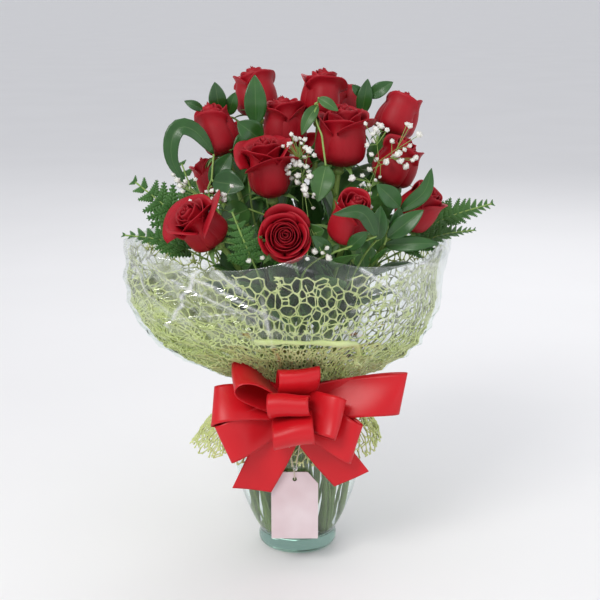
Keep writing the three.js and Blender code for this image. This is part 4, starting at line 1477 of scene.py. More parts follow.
@dataclass
class GypsophilaSpray:
    """Clouds of small white double flowers on forked threads."""

    node: str
    base: tuple[float, float, float]
    clouds: tuple[tuple[float, float, float, int], ...]
    seed: int
    spread: float = 0.0072

    def build(self, tree: Generator) -> bpy.types.Object:
        """Makes the spray in place of its CAD solid.

        Args:
            tree: the spray generator.

        Returns:
            The spray.
        """
        rng = np.random.default_rng(self.seed)
        base = np.array(self.base)
        solid = Solid(self.node)
        lower = solid.stalk(solid.points[:, 2].min() + 0.0006, base[2] - 0.02, 8)
        points = [*through(np.array([*lower, base]), 16)]
        edges = [(i, i + 1) for i in range(len(points) - 1)]
        root = len(points) - 1
        marks = [0.0] * len(points)
        for x, y, z, flowers in self.clouds:
            middle = np.array([x, y, z])
            fork = middle + (base - middle) * 0.35 - np.array([0.0, 0.0, 0.004])
            points.append(fork)
            marks.append(0.0)
            branch = len(points) - 1
            edges.append((root, branch))
            for _ in range(flowers):
                points.append(middle + rng.normal(0, 1, 3) * np.array([1.0, 0.7, 1.0]) * self.spread)
                marks.append(1.0)
                edges.append((branch, len(points) - 1))
        source = wire("branches", np.array(points), edges)
        attribute = source.data.attributes.new("flower", "FLOAT", "POINT")
        attribute.data.foreach_set("value", np.array(marks, np.float32))
        sizes = {"Radius": 0.0003, "Flower size": 0.0066, "Seed": self.seed}
        piece = tree.run(source, self.node + "_flowers", sizes)
        return finish_piece(piece, "gypsophila_flower", self.node)


# ---------------------------------------------------------------- wraps
class Wall:
    """The wrap's surface: the sleeve's flare, with pleats gathered at the tie and folds that fade upwards."""

    NECK = 0.170
    PLEATS = 17

    def __init__(self, node: str, seed: int) -> None:
        """Reads the sleeve and settles its pleats.

        Args:
            node: the CAD sleeve that the wall follows.
            seed: the pleats' random source.
        """
        rng = np.random.default_rng(seed)
        self.sleeve = Sleeve(node)
        self.phases = rng.uniform(0, TAU, 3)

    def point(self, angle: np.ndarray, height: np.ndarray, offset: np.ndarray | float = 0.0) -> np.ndarray:
        """Points of the wall.

        Args:
            angle: about the vase's axis.
            height: above the floor.
            offset: how far outside the wall.

        Returns:
            The points, with a last axis of three.
        """
        radius = self.sleeve.radius(angle, height)
        away = np.abs(np.asarray(height) - self.NECK)
        grip = smoothstep(away, 0.004, 0.022) * (1 - 0.75 * smoothstep(away, 0.03, 0.12))
        wave = np.sin(self.PLEATS * angle + self.phases[0] + 1.6 * np.sin(3 * angle + self.phases[1]))
        radius = radius + 0.0034 * grip * (0.5 + 0.5 * wave) + 0.0005 + offset
        return np.stack([radius * np.cos(angle), radius * np.sin(angle), np.asarray(height, float)], -1)


def web_tree(fibre: bpy.types.Material) -> Generator:
    """The tree of the mesh wrap: a thread on every edge, swelling where threads meet.

    Args:
        fibre: the threads' finish.

    Returns:
        The tree.
    """
    tree = Generator("web", {"Radius": "Float", "Swell": "Float", "Seed": "Int"})
    edges = tree.node("SplitEdges", {0: tree.entry.outputs[0]}).outputs[0]
    curve = tree.node("MeshToCurve", {0: edges}).outputs[0]
    curve = tree.node("ResampleCurve", {0: curve, "Count": 3}).outputs[0]
    factor = tree.node("SplineParameter").outputs["Factor"]
    centred = tree.node("ShaderNodeMath", {0: factor, 1: 2.0, 2: -1.0}, operation="MULTIPLY_ADD").outputs[0]
    square = tree.node("ShaderNodeMath", {0: centred, 1: centred}, operation="MULTIPLY").outputs[0]
    fourth = tree.node("ShaderNodeMath", {0: square, 1: square}, operation="MULTIPLY").outputs[0]
    swell = {0: fourth, 1: tree.size("Swell"), 2: 1.0}
    width = tree.node("ShaderNodeMath", swell, operation="MULTIPLY_ADD").outputs[0]
    radius = tree.node("ShaderNodeMath", {0: width, 1: tree.size("Radius")}, operation="MULTIPLY").outputs[0]
    ring = tree.node("CurvePrimitiveCircle", {"Resolution": 3, "Radius": 1.1}).outputs["Curve"]
    inputs = {"Curve": curve, "Profile Curve": ring, "Scale": radius, "Fill Caps": True}
    return tree.close(tree.dress(tree.node("CurveToMesh", inputs).outputs["Mesh"], fibre))


@dataclass(frozen=True)
class WebLayer:
    """One layer of the web: its cell size, thread, how far outside the wall, and the stretch it covers."""

    cell: tuple[float, float]
    thread: float
    offset: float
    ragged: float
    heights: tuple[float, float]
    sector: tuple[float, float] = (0.0, 1.0)
    stars: float = 0.0


@dataclass
class MeshWrap:
    """The pale lime web round the bouquet, gathered at the tie, with its skirt below."""

    node: str
    wall: Wall
    seed: int
    flat_width: float = 0.90
    flare: float = 0.06
    swell: float = 0.9
    hem_angles: tuple[float, float] = (-1.93, -0.86)
    hem_height: float = 0.2370
    fleece_heights: tuple[float, float] = (0.182, 0.286)
    layers: tuple[WebLayer, ...] = (
        WebLayer((0.0125, 0.0088), 0.00056, 0.0004, 0.49, (0.105, 0.306), stars=0.12),
        WebLayer((0.0190, 0.0170), 0.00044, 0.0, 0.50, (0.110, 0.300), stars=0.05),
        WebLayer((0.0068, 0.0054), 0.00052, 0.0008, 0.48, (0.108, 0.262), (0.36, 0.70)),
        WebLayer((0.0075, 0.0055), 0.00050, 0.0002, 0.48, (0.180, 0.235), (0.70, 1.0)),
    )

    def cells(self, layer: WebLayer, number: int) -> tuple[np.ndarray, list[tuple[int, int]]]:
        """Draws one flat layer.

        Args:
            layer: what it is like.
            number: its number, for its random source.

        Returns:
            Its knots, as distance round and height, and the pairs that threads join.
        """
        across, up = layer.cell
        bottom, top = layer.heights
        columns = int(self.flat_width / across)
        rows = int((top - bottom) / up) + 1
        pitch = self.flat_width / columns
        first, last = layer.sector[0] * self.flat_width, layer.sector[1] * self.flat_width
        seeds = []
        for r in range(-1, rows + 1):
            for c in range(-3, columns + 3):
                local = np.random.default_rng([self.seed + number, r + 9, c % columns])
                jitter = local.uniform(-layer.ragged, layer.ragged, 2)
                x = (c + 0.5 * (r % 2) + jitter[0]) * pitch
                if first - 3 * across <= x <= last + 3 * across:
                    seeds.append((x, bottom + (r + jitter[1]) * up))
        corners, _, triangles = delaunay_2d_cdt([Vector(s) for s in seeds], [], [], 0, 1e-7)[:3]
        flat = np.array([tuple(corner) for corner in corners])
        middles = np.array([flat[list(tri)].mean(0) for tri in triangles])
        sides: dict[tuple[int, int], list[int]] = {}
        for index, (a, b, c) in enumerate(triangles):
            for pair in ((a, b), (b, c), (c, a)):
                sides.setdefault((min(pair), max(pair)), []).append(index)
        inside = (middles[:, 0] >= first) & (middles[:, 0] < last)
        kept = (middles[:, 1] > bottom) & (middles[:, 1] < top)
        pairs = [pair for pair in sides.values() if len(pair) == 2]
        pairs = [(p, q) for p, q in pairs if kept[p] and kept[q]]
        return middles, [(p, q) for p, q in pairs if inside[p] and (inside[q] or p < q)]

    def build(
        self, tree: Generator, fibre: bpy.types.Material, backing: bpy.types.Material
    ) -> bpy.types.Object:
        """Makes the wrap in place of its CAD solid.

        Args:
            tree: the web generator.
            fibre: the threads' finish.
            backing: the fleece's finish.

        Returns:
            The wrap.
        """
        rng = np.random.default_rng(self.seed)
        patchwork = Patchwork()
        pieces = []
        for number, layer in enumerate(self.layers):
            flat, edges = self.cells(layer, number)
            angle = flat[:, 0] / self.flat_width * TAU
            offset = layer.offset + rng.uniform(0, 0.0008, len(flat))
            points = self.wall.point(angle, flat[:, 1], offset)
            sizes = {"Radius": layer.thread, "Swell": self.swell, "Seed": self.seed}
            pieces.append(tree.run(wire("threads", points, edges), "threads", sizes))
            for i in sorted({i for edge in edges for i in edge}):
                if rng.uniform() < layer.stars:
                    self.star(patchwork, flat[i], layer, rng)
        self.hem(patchwork)
        hubs = patchwork.build("hubs", [fibre])
        thicken(hubs, 0.0005, 0)
        piece = join(self.node + "_web", [*pieces, hubs, self.fleece(backing)])
        finish_piece(piece, "mesh_fibre", self.node)
        return piece

    def hem(self, patchwork: Patchwork) -> None:
        """Adds the rolled front edge of the mesh's second turn, which rises a little to the right."""
        first, last = self.hem_angles
        turn = np.linspace(first, last, 70)[:, None]
        across = np.linspace(-1, 1, 9)[None, :]
        droop = smoothstep(turn, -1.12, last)
        middle = self.hem_height + 0.004 * np.sin(3.1 * turn + 0.4) - 0.026 * droop**2
        height = middle + 0.0027 * across * (1 + 0.3 * np.sin(9 * turn) + 0.15 * np.sin(31 * turn))
        offset = 0.0006 + 0.0022 * np.sqrt(1 - across**2)
        grid = self.wall.point(np.broadcast_to(turn, height.shape), height, offset)
        patchwork.add_grid(grid, 0.8)

    def fleece(self, backing: bpy.types.Material) -> bpy.types.Object:
        """The dense fleece on the wrap's left and round its foot, thinning out upwards and to the right."""
        share, turn = np.meshgrid(np.linspace(0, 1, 28), np.linspace(-math.pi, math.pi, 160), indexing="ij")
        bottom, top = self.fleece_heights
        height = bottom + (top - bottom) * share
        left = smoothstep(-np.cos(turn + 0.35), -0.1, 0.75)
        ragged = 0.10 * np.sin(7 * turn + 1.0) + 0.06 * np.sin(17 * turn)
        brink = 0.30 + 0.62 * left + ragged
        cover = (1 - smoothstep(share, brink - 0.22, brink)) * (0.45 + 0.55 * left)
        cover = cover * smoothstep(share, 0.0, 0.05)
        patchwork = Patchwork()
        grid = self.wall.point(turn[:, :-1], height[:, :-1], -0.0004)
        patchwork.add_grid(grid, cover[:, :-1], 0, wrap=True)
        sheet = patchwork.build("fleece", [backing])
        thicken(sheet, 0.0002, 0)
        return sheet

    def star(self, patchwork: Patchwork, at: np.ndarray, layer: WebLayer, rng: np.random.Generator) -> None:
        """Adds one filled hub: a small star whose arms run out along the threads."""
        arms = 5
        reach = rng.uniform(0.0035, 0.0062)
        turn = np.linspace(0, TAU, 2 * arms, endpoint=False) + rng.uniform(0, TAU)
        radius = np.where(np.arange(2 * arms) % 2 == 0, reach, reach * 0.42)
        flat = np.stack([at[0] + radius * np.cos(turn), at[1] + 0.8 * radius * np.sin(turn)], 1)
        flat = np.vstack([flat, at[None]])
        height = np.clip(flat[:, 1], *layer.heights)
        points = self.wall.point(flat[:, 0] / self.flat_width * TAU, height, layer.offset + 0.0003)
        faces = [(i, (i + 1) % (2 * arms), 2 * arms) for i in range(2 * arms)]
        patchwork.add(points, faces, None, rng.uniform(0, 1))


@dataclass
class FilmWrap:
    """The clear film outside the mesh: crisp creases, corners that stand up at its top, and a tint that
    paints highlights on its creases and a veil of reflection near its top.
    """

    node: str
    wall: Wall
    seed: int
    bottom: float = 0.178
    top: float = 0.317
    rise: float = 0.016
    offset: float = 0.0022
    thickness: float = 0.00025
    turns: int = 520
    levels: int = 90
    girth: float = 0.12
    flat_size: tuple[float, float] = (0.90, 0.18)
    # Painted highlight streaks, each from a start angle and height to an end angle and height; they also lift
    # the film a little.
    streaks: tuple[tuple[float, float, float, float], ...] = (
        (-2.30, 0.306, -1.55, 0.258),
        (-2.42, 0.296, -1.95, 0.272),
        (-2.15, 0.318, -1.85, 0.286),
        (-1.15, 0.312, -0.75, 0.276),
        (-0.85, 0.318, -0.30, 0.296),
        (-2.75, 0.300, -2.45, 0.262),
        (0.60, 0.314, 1.20, 0.268),
        (1.90, 0.316, 2.50, 0.262),
        (2.70, 0.308, 2.35, 0.256),
    )

    def creases(self, angle: np.ndarray, height: np.ndarray) -> tuple[np.ndarray, np.ndarray]:
        """How far the folds lift the film at each point, and how strong the painted highlight along its
        creases is there.
        """
        rng = np.random.default_rng(self.seed)
        lift = np.zeros_like(angle)
        line = np.zeros_like(angle)
        for _ in range(7):
            around, up = rng.integers(1, 5), rng.uniform(-9, 9)
            phase = (angle * around / TAU + height * up + rng.uniform()) % 1.0
            ridge = np.maximum(0, 1 - np.abs(phase - 0.5) / rng.uniform(0.15, 0.5))
            lift += ridge * rng.uniform(0.001, 0.003)
            width = 0.0045 * (around + abs(up) * 0.05)
            # line: a painted highlight along each crease, faded in and out round the film.
            fade = smoothstep(np.sin(3 * angle + 20 * height + rng.uniform(0, TAU)), -0.2, 0.8)
            line = np.maximum(line, np.maximum(0, 1 - np.abs(phase - 0.5) / width) * fade)
        # Each streak paints a highlight line and lifts the film a little along it.
        for first, high, last, low in self.streaks:
            run = np.array([(last - first) * self.girth, low - high])
            x, y = (angle - first) * self.girth, height - high
            share = (x * run[0] + y * run[1]) / (run @ run)
            near = np.clip(share, 0, 1)
            away = np.hypot(x - near * run[0], y - near * run[1])
            line = np.maximum(line, np.maximum(0, 1 - away / 0.0022) * (1 - 0.5 * near))
            lift = lift + 0.002 * np.maximum(0, 1 - away / 0.012)
        return lift, line

    def build(self, film: bpy.types.Material) -> bpy.types.Object:
        """Makes the film in place of its CAD solid.

        Args:
            film: its finish.

        Returns:
            The film.
        """
        angle = np.linspace(-math.pi, math.pi, self.turns, endpoint=False)
        share = np.linspace(0, 1, self.levels)
        share, angle = np.meshgrid(share, angle, indexing="ij")
        corner = np.abs((angle / TAU * 5 + 0.2) % 1.0 - 0.5) * 2
        top = self.top + self.rise * (corner**2 - 0.35)
        height = self.bottom + (top - self.bottom) * share
        lift, line = self.creases(angle, height)
        lift = lift * smoothstep(share, 0.0, 0.25)
        # Painted reflection: a pale veil near the top edge, strongest at the left and right sides; below the
        # middle the tint drops below zero, which turns the mirror down.
        painted_reflection_veil = 0.34 * smoothstep(share, 0.66, 0.95) * (0.25 + 0.75 * np.cos(angle) ** 2)
        line = np.maximum(line, painted_reflection_veil) - 0.9 * (1 - smoothstep(share, 0.35, 0.72))
        grid = self.wall.point(angle, np.minimum(height, self.top + 0.006), self.offset + lift)
        grid[..., 2] = height
        patchwork = Patchwork()
        patchwork.add_grid(grid, line, 0, wrap=True)
        piece = patchwork.build(self.node + "_sheet", [film])
        thicken(piece, self.thickness, 1)
        finish_piece(piece, "clear_film", self.node)
        return piece


# ---------------------------------------------------------------- ribbon
@dataclass(frozen=True)
class Strap:
    """One loop or tail: its far end, its width direction, how deep it bulges, and its twist in radians."""

    end: tuple[float, float, float]
    across: tuple[float, float, float]
    depth: float = 0.0
    twist: float = 0.0


@dataclass
class RibbonBow:
    """The red satin bow: loops and tails that fan out from the knot, and the tie round the neck."""

    node: str
    tie_node: str
    knot: tuple[float, float, float] = (-0.004, -0.060, 0.166)
    width: float = 0.038
    thickness: float = 0.0007
    loops: tuple[Strap, ...] = (
        Strap((0.002, -0.088, 0.208), (1.0, 0.1, 0.08), 0.015, 0.08),
        Strap((-0.058, -0.084, 0.203), (-0.35, 0.75, 0.55), 0.017, 0.35),
        Strap((-0.079, -0.074, 0.169), (0.25, 0.55, 0.8), 0.018, 0.40),
        Strap((-0.069, -0.088, 0.136), (-0.38, 0.1, 0.92), 0.013, -0.30),
        Strap((-0.009, -0.104, 0.180), (1.0, 0.0, 0.06), 0.020, 0.14),
        Strap((0.039, -0.099, 0.165), (0.55, 0.2, 0.8), 0.016, -0.25),
        Strap((-0.003, -0.108, 0.146), (1.0, 0.0, 0.08), 0.022, -0.12),
        Strap((0.055, -0.088, 0.136), (0.55, -0.1, 0.83), 0.013, 0.30),
        Strap((0.099, -0.072, 0.181), (0.0, 0.12, 1.0), 0.015, 0.50),
    )
    tails: tuple[Strap, ...] = (
        Strap((-0.043, -0.078, 0.086), (0.8, 0.0, -0.55), twist=-0.25),
        Strap((0.051, -0.076, 0.096), (0.6, 0.1, 0.75), twist=0.25),
    )

    def sheet(self, strap: Strap, line: np.ndarray, rng: np.random.Generator) -> Grid:
        """A strip along a line in the strap's own axes.

        Args:
            strap: the loop or tail.
            line: its points, as distance from the knot and depth.
            rng: the bow's random source.

        Returns:
            Rows along the strip, columns across it.
        """
        knot = np.array(self.knot)
        x = unit(np.array(strap.end) - knot)
        y = unit(np.cross(x, strap.across))
        z = np.cross(x, y)
        cols = 15
        v = np.linspace(-1, 1, cols)
        out, deep = line[:, 0][:, None], line[:, 1][:, None]
        share = 0.28 + 0.72 * smoothstep(out / 0.026)
        pinch = 1 - smoothstep(out / 0.03)
        pleat = 0.0016 * pinch * np.sin(v * math.pi * 2.5 + rng.uniform(0, TAU))[None, :]
        soft = 0.0012 * np.sin(2.2 * v + rng.uniform(0, TAU))[None, :] * smoothstep(out, 0.01, 0.04)
        skew = 1 + rng.uniform(-0.07, 0.07) * v[None, :]
        across = v[None, :] * self.width / 2 * share
        turn = strap.twist * np.linspace(-1, 1, len(line))[:, None, None]
        deep_way, across_way = np.cos(turn) * y + np.sin(turn) * z, np.cos(turn) * z - np.sin(turn) * y
        lift = deep + pleat + soft
        proud = lift[..., None] * deep_way + across[..., None] * across_way
        return knot + (out * skew)[..., None] * x + proud

    def build(self, satin: bpy.types.Material) -> None:
        """Makes the bow and the tie in place of their CAD solids.

        Args:
            satin: the ribbon's finish.
        """
        rng = np.random.default_rng(41)
        patchwork = Patchwork()
        for loop in self.loops:
            reach = float(np.linalg.norm(np.array(loop.end) - np.array(self.knot)))
            t = np.linspace(0.06, 0.94, 61) * TAU
            out = np.sin(t / 2)
            line = np.stack([reach * out**1.3, loop.depth * 0.66 * np.sin(t) * out], 1)
            patchwork.add_grid(self.sheet(loop, line, rng), rng.uniform(0.3, 0.7))
        for tail in self.tails:
            reach = float(np.linalg.norm(np.array(tail.end) - np.array(self.knot)))
            t = np.linspace(0.05, 1, 41)
            line = np.stack([reach * t, 0.003 * np.sin(math.pi * t) + 0.0015 * np.sin(5 * t)], 1)
            patchwork.add_grid(self.sheet(tail, line, rng), 0.5)
        self.add_knot(patchwork)
        bow = patchwork.build("bow", [satin])
        thicken(bow, self.thickness, 0)
        finish_piece(bow, "ribbon_satin", self.node)
        self.build_tie(satin)

    def add_knot(self, patchwork: Patchwork) -> None:
        """Adds the band wound over the middle of the bow."""
        turn, v = np.meshgrid(np.linspace(0, TAU, 40, endpoint=False), np.linspace(-1, 1, 11), indexing="ij")
        radius = 0.0085 + 0.0007 * np.sin(7 * v + 2 * turn) - 0.002 * np.abs(v) ** 3
        x = self.knot[0] + 0.010 * v
        y = self.knot[1] - 0.010 + radius * np.cos(turn)
        z = self.knot[2] + 0.001 + radius * 1.25 * np.sin(turn)
        grid = np.stack([x, y, z], 2)
        patchwork.add_grid(grid.transpose(1, 0, 2), 0.55, 0, wrap=True)

    def build_tie(self, satin: bpy.types.Material) -> None:
        """Makes the ribbon's turn round the neck."""
        low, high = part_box(self.tie_node)
        solid = Solid(self.tie_node)
        outer = np.hypot(solid.points[:, 0], solid.points[:, 1]).max()
        around = np.linspace(0, TAU, 160, endpoint=False)
        angle, v = np.meshgrid(around, np.linspace(-1, 1, 13), indexing="ij")
        gather = 0.0006 * np.sin(23 * angle + 2.5 * v) + 0.0005 * np.sin(3 * v * math.pi + 5 * angle)
        radius = outer - 0.0012 + gather
        middle, half = (low.z + high.z) / 2, (high.z - low.z) / 2
        grid = np.stack([radius * np.cos(angle), radius * np.sin(angle), middle + half * v], 2)
        patchwork = Patchwork()
        patchwork.add_grid(grid.transpose(1, 0, 2), 0.5, 0, wrap=True)
        tie = patchwork.build("tie", [satin])
        tidy_normals(tie)
        thicken(tie, self.thickness, 0)
        finish_piece(tie, "ribbon_satin", self.tie_node)


# ---------------------------------------------------------------- tag
@dataclass
class Tag:
    """The bare card, the cream string that it hangs on, and the bead that holds the strands."""

    node: str = "tag"
    string_node: str = "tag_string"
    bead_node: str = "tag_bead"
    diameter: float = 0.0011
    route: tuple[tuple[float, float, float], ...] = (
        (-0.0110, -0.0710, 0.1530),
        (-0.0095, -0.0720, 0.1400),
        (-0.0070, -0.0720, 0.1240),
        (-0.0046, -0.0706, 0.1100),
        (-0.0034, -0.0696, 0.1040),
        (-0.0029, -0.0688, 0.0980),
        (-0.0026, -0.0682, 0.0946),
        (-0.0026, -0.0672, 0.0927),
        (-0.0026, -0.0659, 0.0923),
        (-0.0026, -0.0650, 0.0934),
        (-0.0025, -0.0649, 0.0965),
        (-0.0022, -0.0650, 0.0996),
        (-0.0016, -0.0666, 0.1022),
        (-0.0012, -0.0694, 0.1060),
        (-0.0004, -0.0708, 0.1120),
        (0.0016, -0.0720, 0.1260),
        (0.0034, -0.0720, 0.1400),
        (0.0044, -0.0710, 0.1530),
    )

    def build(self, card: bpy.types.Material, twine: bpy.types.Material, clear: bpy.types.Material) -> None:
        """Makes the string, and dresses the card and the bead.

        Args:
            card: the card's finish.
            twine: the string's finish.
            clear: the bead's finish.
        """
        curve = bpy.data.curves.new("tag_cord", "CURVE")
        curve.dimensions = "3D"
        curve.bevel_depth = self.diameter / 2
        curve.bevel_resolution = 2
        curve.use_fill_caps = True
        line = through(np.array(self.route), 70)
        spline = curve.splines.new("POLY")
        spline.points.add(len(line) - 1)
        spline.points.foreach_set("co", np.hstack([line, np.ones((len(line), 1))]).ravel())
        curve.materials.append(twine)
        cord = bpy.data.objects.new("tag_cord", curve)
        bpy.context.scene.collection.objects.link(cord)
        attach(cord, BODY)
        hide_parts(self.string_node)
        dress(self.node, card)
        dress(self.bead_node, clear)


def dress(node: str, material: bpy.types.Material) -> None:
    """Puts a finish on a CAD node that stays."""
    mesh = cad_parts[node].data
    mesh.materials.clear()
    mesh.materials.append(material)


# ---------------------------------------------------------------- vase
@dataclass
class Vase:
    """The pressed glass vase and the water that it holds."""

    node: str = "vase"
    water_node: str = "water"
    wall: float = 0.003
    floor: float = 0.015
    water_level: float = 0.120
    turns: int = 128
    outside: tuple[tuple[float, float], ...] = (
        (0.0380, 0.016),
        (0.0465, 0.032),
        (0.0565, 0.058),
        (0.0625, 0.088),
        (0.0620, 0.118),
        (0.0540, 0.146),
        (0.0430, 0.170),
        (0.0455, 0.186),
        (0.0540, 0.200),
    )
    foot: tuple[tuple[float, float], ...] = (
        (0.0, 0.0),
        (0.0335, 0.0),
        (0.0372, 0.0012),
        (0.0391, 0.0040),
        (0.0395, 0.0070),
        (0.0390, 0.0105),
        (0.0382, 0.0135),
    )

    def profile(self) -> np.ndarray:
        """The outer wall as radius and height, smooth, without the foot."""
        points = np.array([(r, z, 0.0) for r, z in self.outside])
        return through(points, 60)[:, :2]

    def inner(self) -> np.ndarray:
        """The inner wall, from the rim down to the floor."""
        outer = self.profile()
        run = np.gradient(outer, axis=0)
        normal = np.stack([-run[:, 1], run[:, 0]], 1) / np.linalg.norm(run, axis=1)[:, None]
        inner = outer + normal * self.wall
        inner = inner[inner[:, 1] > self.floor + 0.006]
        edge = inner[0]
        heel = [
            (edge[0] * (0.55 + 0.45 * s), self.floor + (edge[1] - self.floor) * s**2.2)
            for s in np.linspace(0, 0.95, 8)
        ]
        return np.vstack([inner[::-1], heel[::-1], [(0.0, self.floor)]])

    def lathe(self, name: str, profile: np.ndarray, material: bpy.types.Material) -> bpy.types.Object:
        """Turns a profile that starts and ends on the axis into a closed solid."""
        turn = np.linspace(0, TAU, self.turns, endpoint=False)
        ring = np.stack([np.cos(turn), np.sin(turn)], 1)
        middle = profile[1:-1]
        grid = np.concatenate(
            [
                middle[:, None, :1] * ring[None],
                np.broadcast_to(middle[:, None, 1:], (len(middle), self.turns, 1)),
            ],
            2,
        )
        patchwork = Patchwork()
        patchwork.add_grid(grid, 0.5, 0, wrap=True)
        made = patchwork.build(name, [material])
        close_ends(made)
        return made

    def build(self, glass: bpy.types.Material, water: bpy.types.Material) -> None:
        """Makes the vase and its water in place of their CAD solids.

        Args:
            glass: the vase's finish.
            water: the water's finish.
        """
        outer, inner = self.profile(), self.inner()
        rim = (outer[-1] + inner[0]) / 2 + np.array([0.0, 0.0009])
        profile = np.vstack([self.foot, outer, rim[None], inner])
        vase = self.lathe("vase_glass", profile, glass)
        finish_piece(vase, "glass", self.node)
        wet = inner[inner[:, 1] < self.water_level]
        lap = 0.0002
        wet = wet + np.where(wet[:, :1] > 0.001, [[lap, 0.0]], [[0.0, 0.0]])
        brim = wet[0, 0]
        level = self.water_level
        meniscus = [(0.0, level), (brim - 0.004, level)]
        meniscus += [(brim - 0.0012, level + 0.0005), (brim, level + 0.0014)]
        body = self.lathe("water_body", np.vstack([meniscus, wet]), water)
        finish_piece(body, "water", self.water_node)


# ---------------------------------------------------------------- studio
@dataclass
class Studio:
    """The camera, the pale floor and the soft lights."""

    eye: tuple[float, float, float] = (0.0025, -1.150, 0.550)
    pitch: float = math.radians(14.5)
    lens: float = 72.9

    def camera(self) -> None:
        """Places the camera."""
        data = bpy.data.cameras.new("camera")
        data.lens = self.lens
        data.sensor_width = 36.0
        data.clip_start = 0.05
        camera = bpy.data.objects.new("camera", data)
        camera.location = self.eye
        camera.rotation_euler = Euler((math.pi / 2 - self.pitch, 0.0, 0.0))
        bpy.context.scene.collection.objects.link(camera)
        bpy.context.scene.camera = camera

    def lamp(
        self, name: str, place: tuple[float, float, float], size: float, power: float, color: Color
    ) -> None:
        """Adds a square lamp aimed at the bouquet."""
        data = bpy.data.lights.new(name, "AREA")
        data.shape = "SQUARE"
        data.size = size
        data.energy = power
        data.color = color
        lamp = bpy.data.objects.new(name, data)
        lamp.location = place
        lamp.rotation_euler = (Vector((0, 0, 0.25)) - Vector(place)).to_track_quat("-Z", "Y").to_euler()
        bpy.context.scene.collection.objects.link(lamp)

    def floor(self) -> None:
        """Adds the floor, which the frame doesn't count."""
        shade = Shade("pale_floor")
        cloud = shade.noise(shade.place(), 3, 2)
        color = shade.ramp(cloud, [(0.3, (0.86, 0.85, 0.85)), (0.7, (0.88, 0.87, 0.87))])
        material = shade.principled(Base_Color=color, Roughness=0.7)
        patchwork = Patchwork()
        x, y = np.meshgrid(np.linspace(-90, 90, 3), np.linspace(-90, 90, 3), indexing="ij")
        patchwork.add_grid(np.stack([x, y, np.full_like(x, -0.0004)], 2))
        ground = patchwork.build("floor", [material])

    def build(self) -> None:
        """Sets up the whole studio."""
        self.camera()
        self.floor()
        self.lamp("key", (-0.9, -1.5, 1.8), 0.9, 24.0, (1.0, 0.98, 0.95))
        self.lamp("fill", (1.6, -1.2, 0.9), 1.4, 5.0, (0.95, 0.98, 1.0))
        self.lamp("back", (0.5, 1.5, 1.5), 1.2, 9.0, (1.0, 1.0, 1.0))
        world = bpy.data.worlds.new("room")
        world.use_nodes = True
        world.node_tree.nodes["Background"].inputs["Color"].default_value = (0.93, 0.95, 1.0, 1)
        world.node_tree.nodes["Background"].inputs["Strength"].default_value = 0.72
        bpy.context.scene.world = world
        bpy.context.scene.view_settings.view_transform = "Standard"


BLOOMS = (
    Bloom.CUP, Bloom.BUD, Bloom.BUD, Bloom.FLARED, Bloom.CUP, Bloom.FLARED, Bloom.OPEN, Bloom.CUP,
    Bloom.CUP, Bloom.BUD, Bloom.BUD, Bloom.BUD, Bloom.BUD, Bloom.BUD, Bloom.CUP, Bloom.FLARED,
)

RUSCUS_SPRIGS = (
    (
        (-0.084, -0.020, 0.360),
        (
            Blade(
                (
                    (-0.078, -0.018, 0.398),
                    (-0.093, -0.020, 0.418),
                    (-0.107, -0.022, 0.4235),
                    (-0.1155, -0.025, 0.413),
                    (-0.1155, -0.028, 0.392),
                    (-0.101, -0.030, 0.368),
                ),
                0.016,
                arch=0.0,
            ),
            Blade(((-0.078, -0.030, 0.374), (-0.048, -0.046, 0.371)), 0.026),
            Blade(((-0.080, -0.020, 0.368), (-0.062, -0.010, 0.398)), 0.020),
        ),
    ),
    (
        (-0.044, 0.006, 0.418),
        (
            Blade(((-0.0385, -0.006, 0.424), (-0.0395, -0.007, 0.470)), 0.021),
            Blade(((-0.033, -0.024, 0.411), (-0.055, -0.030, 0.429)), 0.023),
            Blade(((-0.042, 0.000, 0.412), (-0.060, -0.012, 0.400)), 0.018),
        ),
    ),
    (
        (-0.056, 0.024, 0.424),
        (
            Blade(((-0.074, 0.020, 0.431), (-0.0785, 0.020, 0.4615)), 0.017),
            Blade(((-0.090, 0.020, 0.435), (-0.108, 0.020, 0.4437)), 0.009),
            Blade(((-0.066, 0.022, 0.430), (-0.059, 0.018, 0.452)), 0.013),
        ),
    ),
    (
        (0.064, 0.030, 0.424),
        (
            Blade(((0.0615, 0.022, 0.430), (0.067, 0.020, 0.4645)), 0.015),
            Blade(((0.068, 0.021, 0.447), (0.091, 0.020, 0.4615)), 0.014),
            Blade(((0.0615, 0.021, 0.448), (0.052, 0.020, 0.459)), 0.009),
        ),
    ),
    (
        (0.078, -0.068, 0.332),
        (
            Blade(((0.091, -0.085, 0.360), (0.070, -0.090, 0.381)), 0.018),
            Blade(((0.0915, -0.080, 0.355), (0.112, -0.082, 0.372), (0.1185, -0.085, 0.3946)), 0.014),
            Blade(((0.071, -0.100, 0.333), (0.0727, -0.105, 0.3643)), 0.015),
            Blade(((0.080, -0.095, 0.334), (0.111, -0.098, 0.3595)), 0.017),
            Blade(((0.0867, -0.090, 0.333), (0.0904, -0.092, 0.361)), 0.014),
            Blade(((0.078, -0.085, 0.3254), (0.126, -0.095, 0.329)), 0.014),
        ),
    ),
    (
        (0.022, -0.092, 0.316),
        (
            Blade(
                ((0.0693, -0.110, 0.3387), (0.0560, -0.119, 0.3605), (0.0305, -0.122, 0.3600)),
                0.014,
                arch=0.0,
            ),
            Blade(((0.045, -0.100, 0.325), (0.062, -0.112, 0.343)), 0.013),
            Blade(((0.030, -0.098, 0.320), (0.013, -0.106, 0.338)), 0.013),
        ),
    ),
)

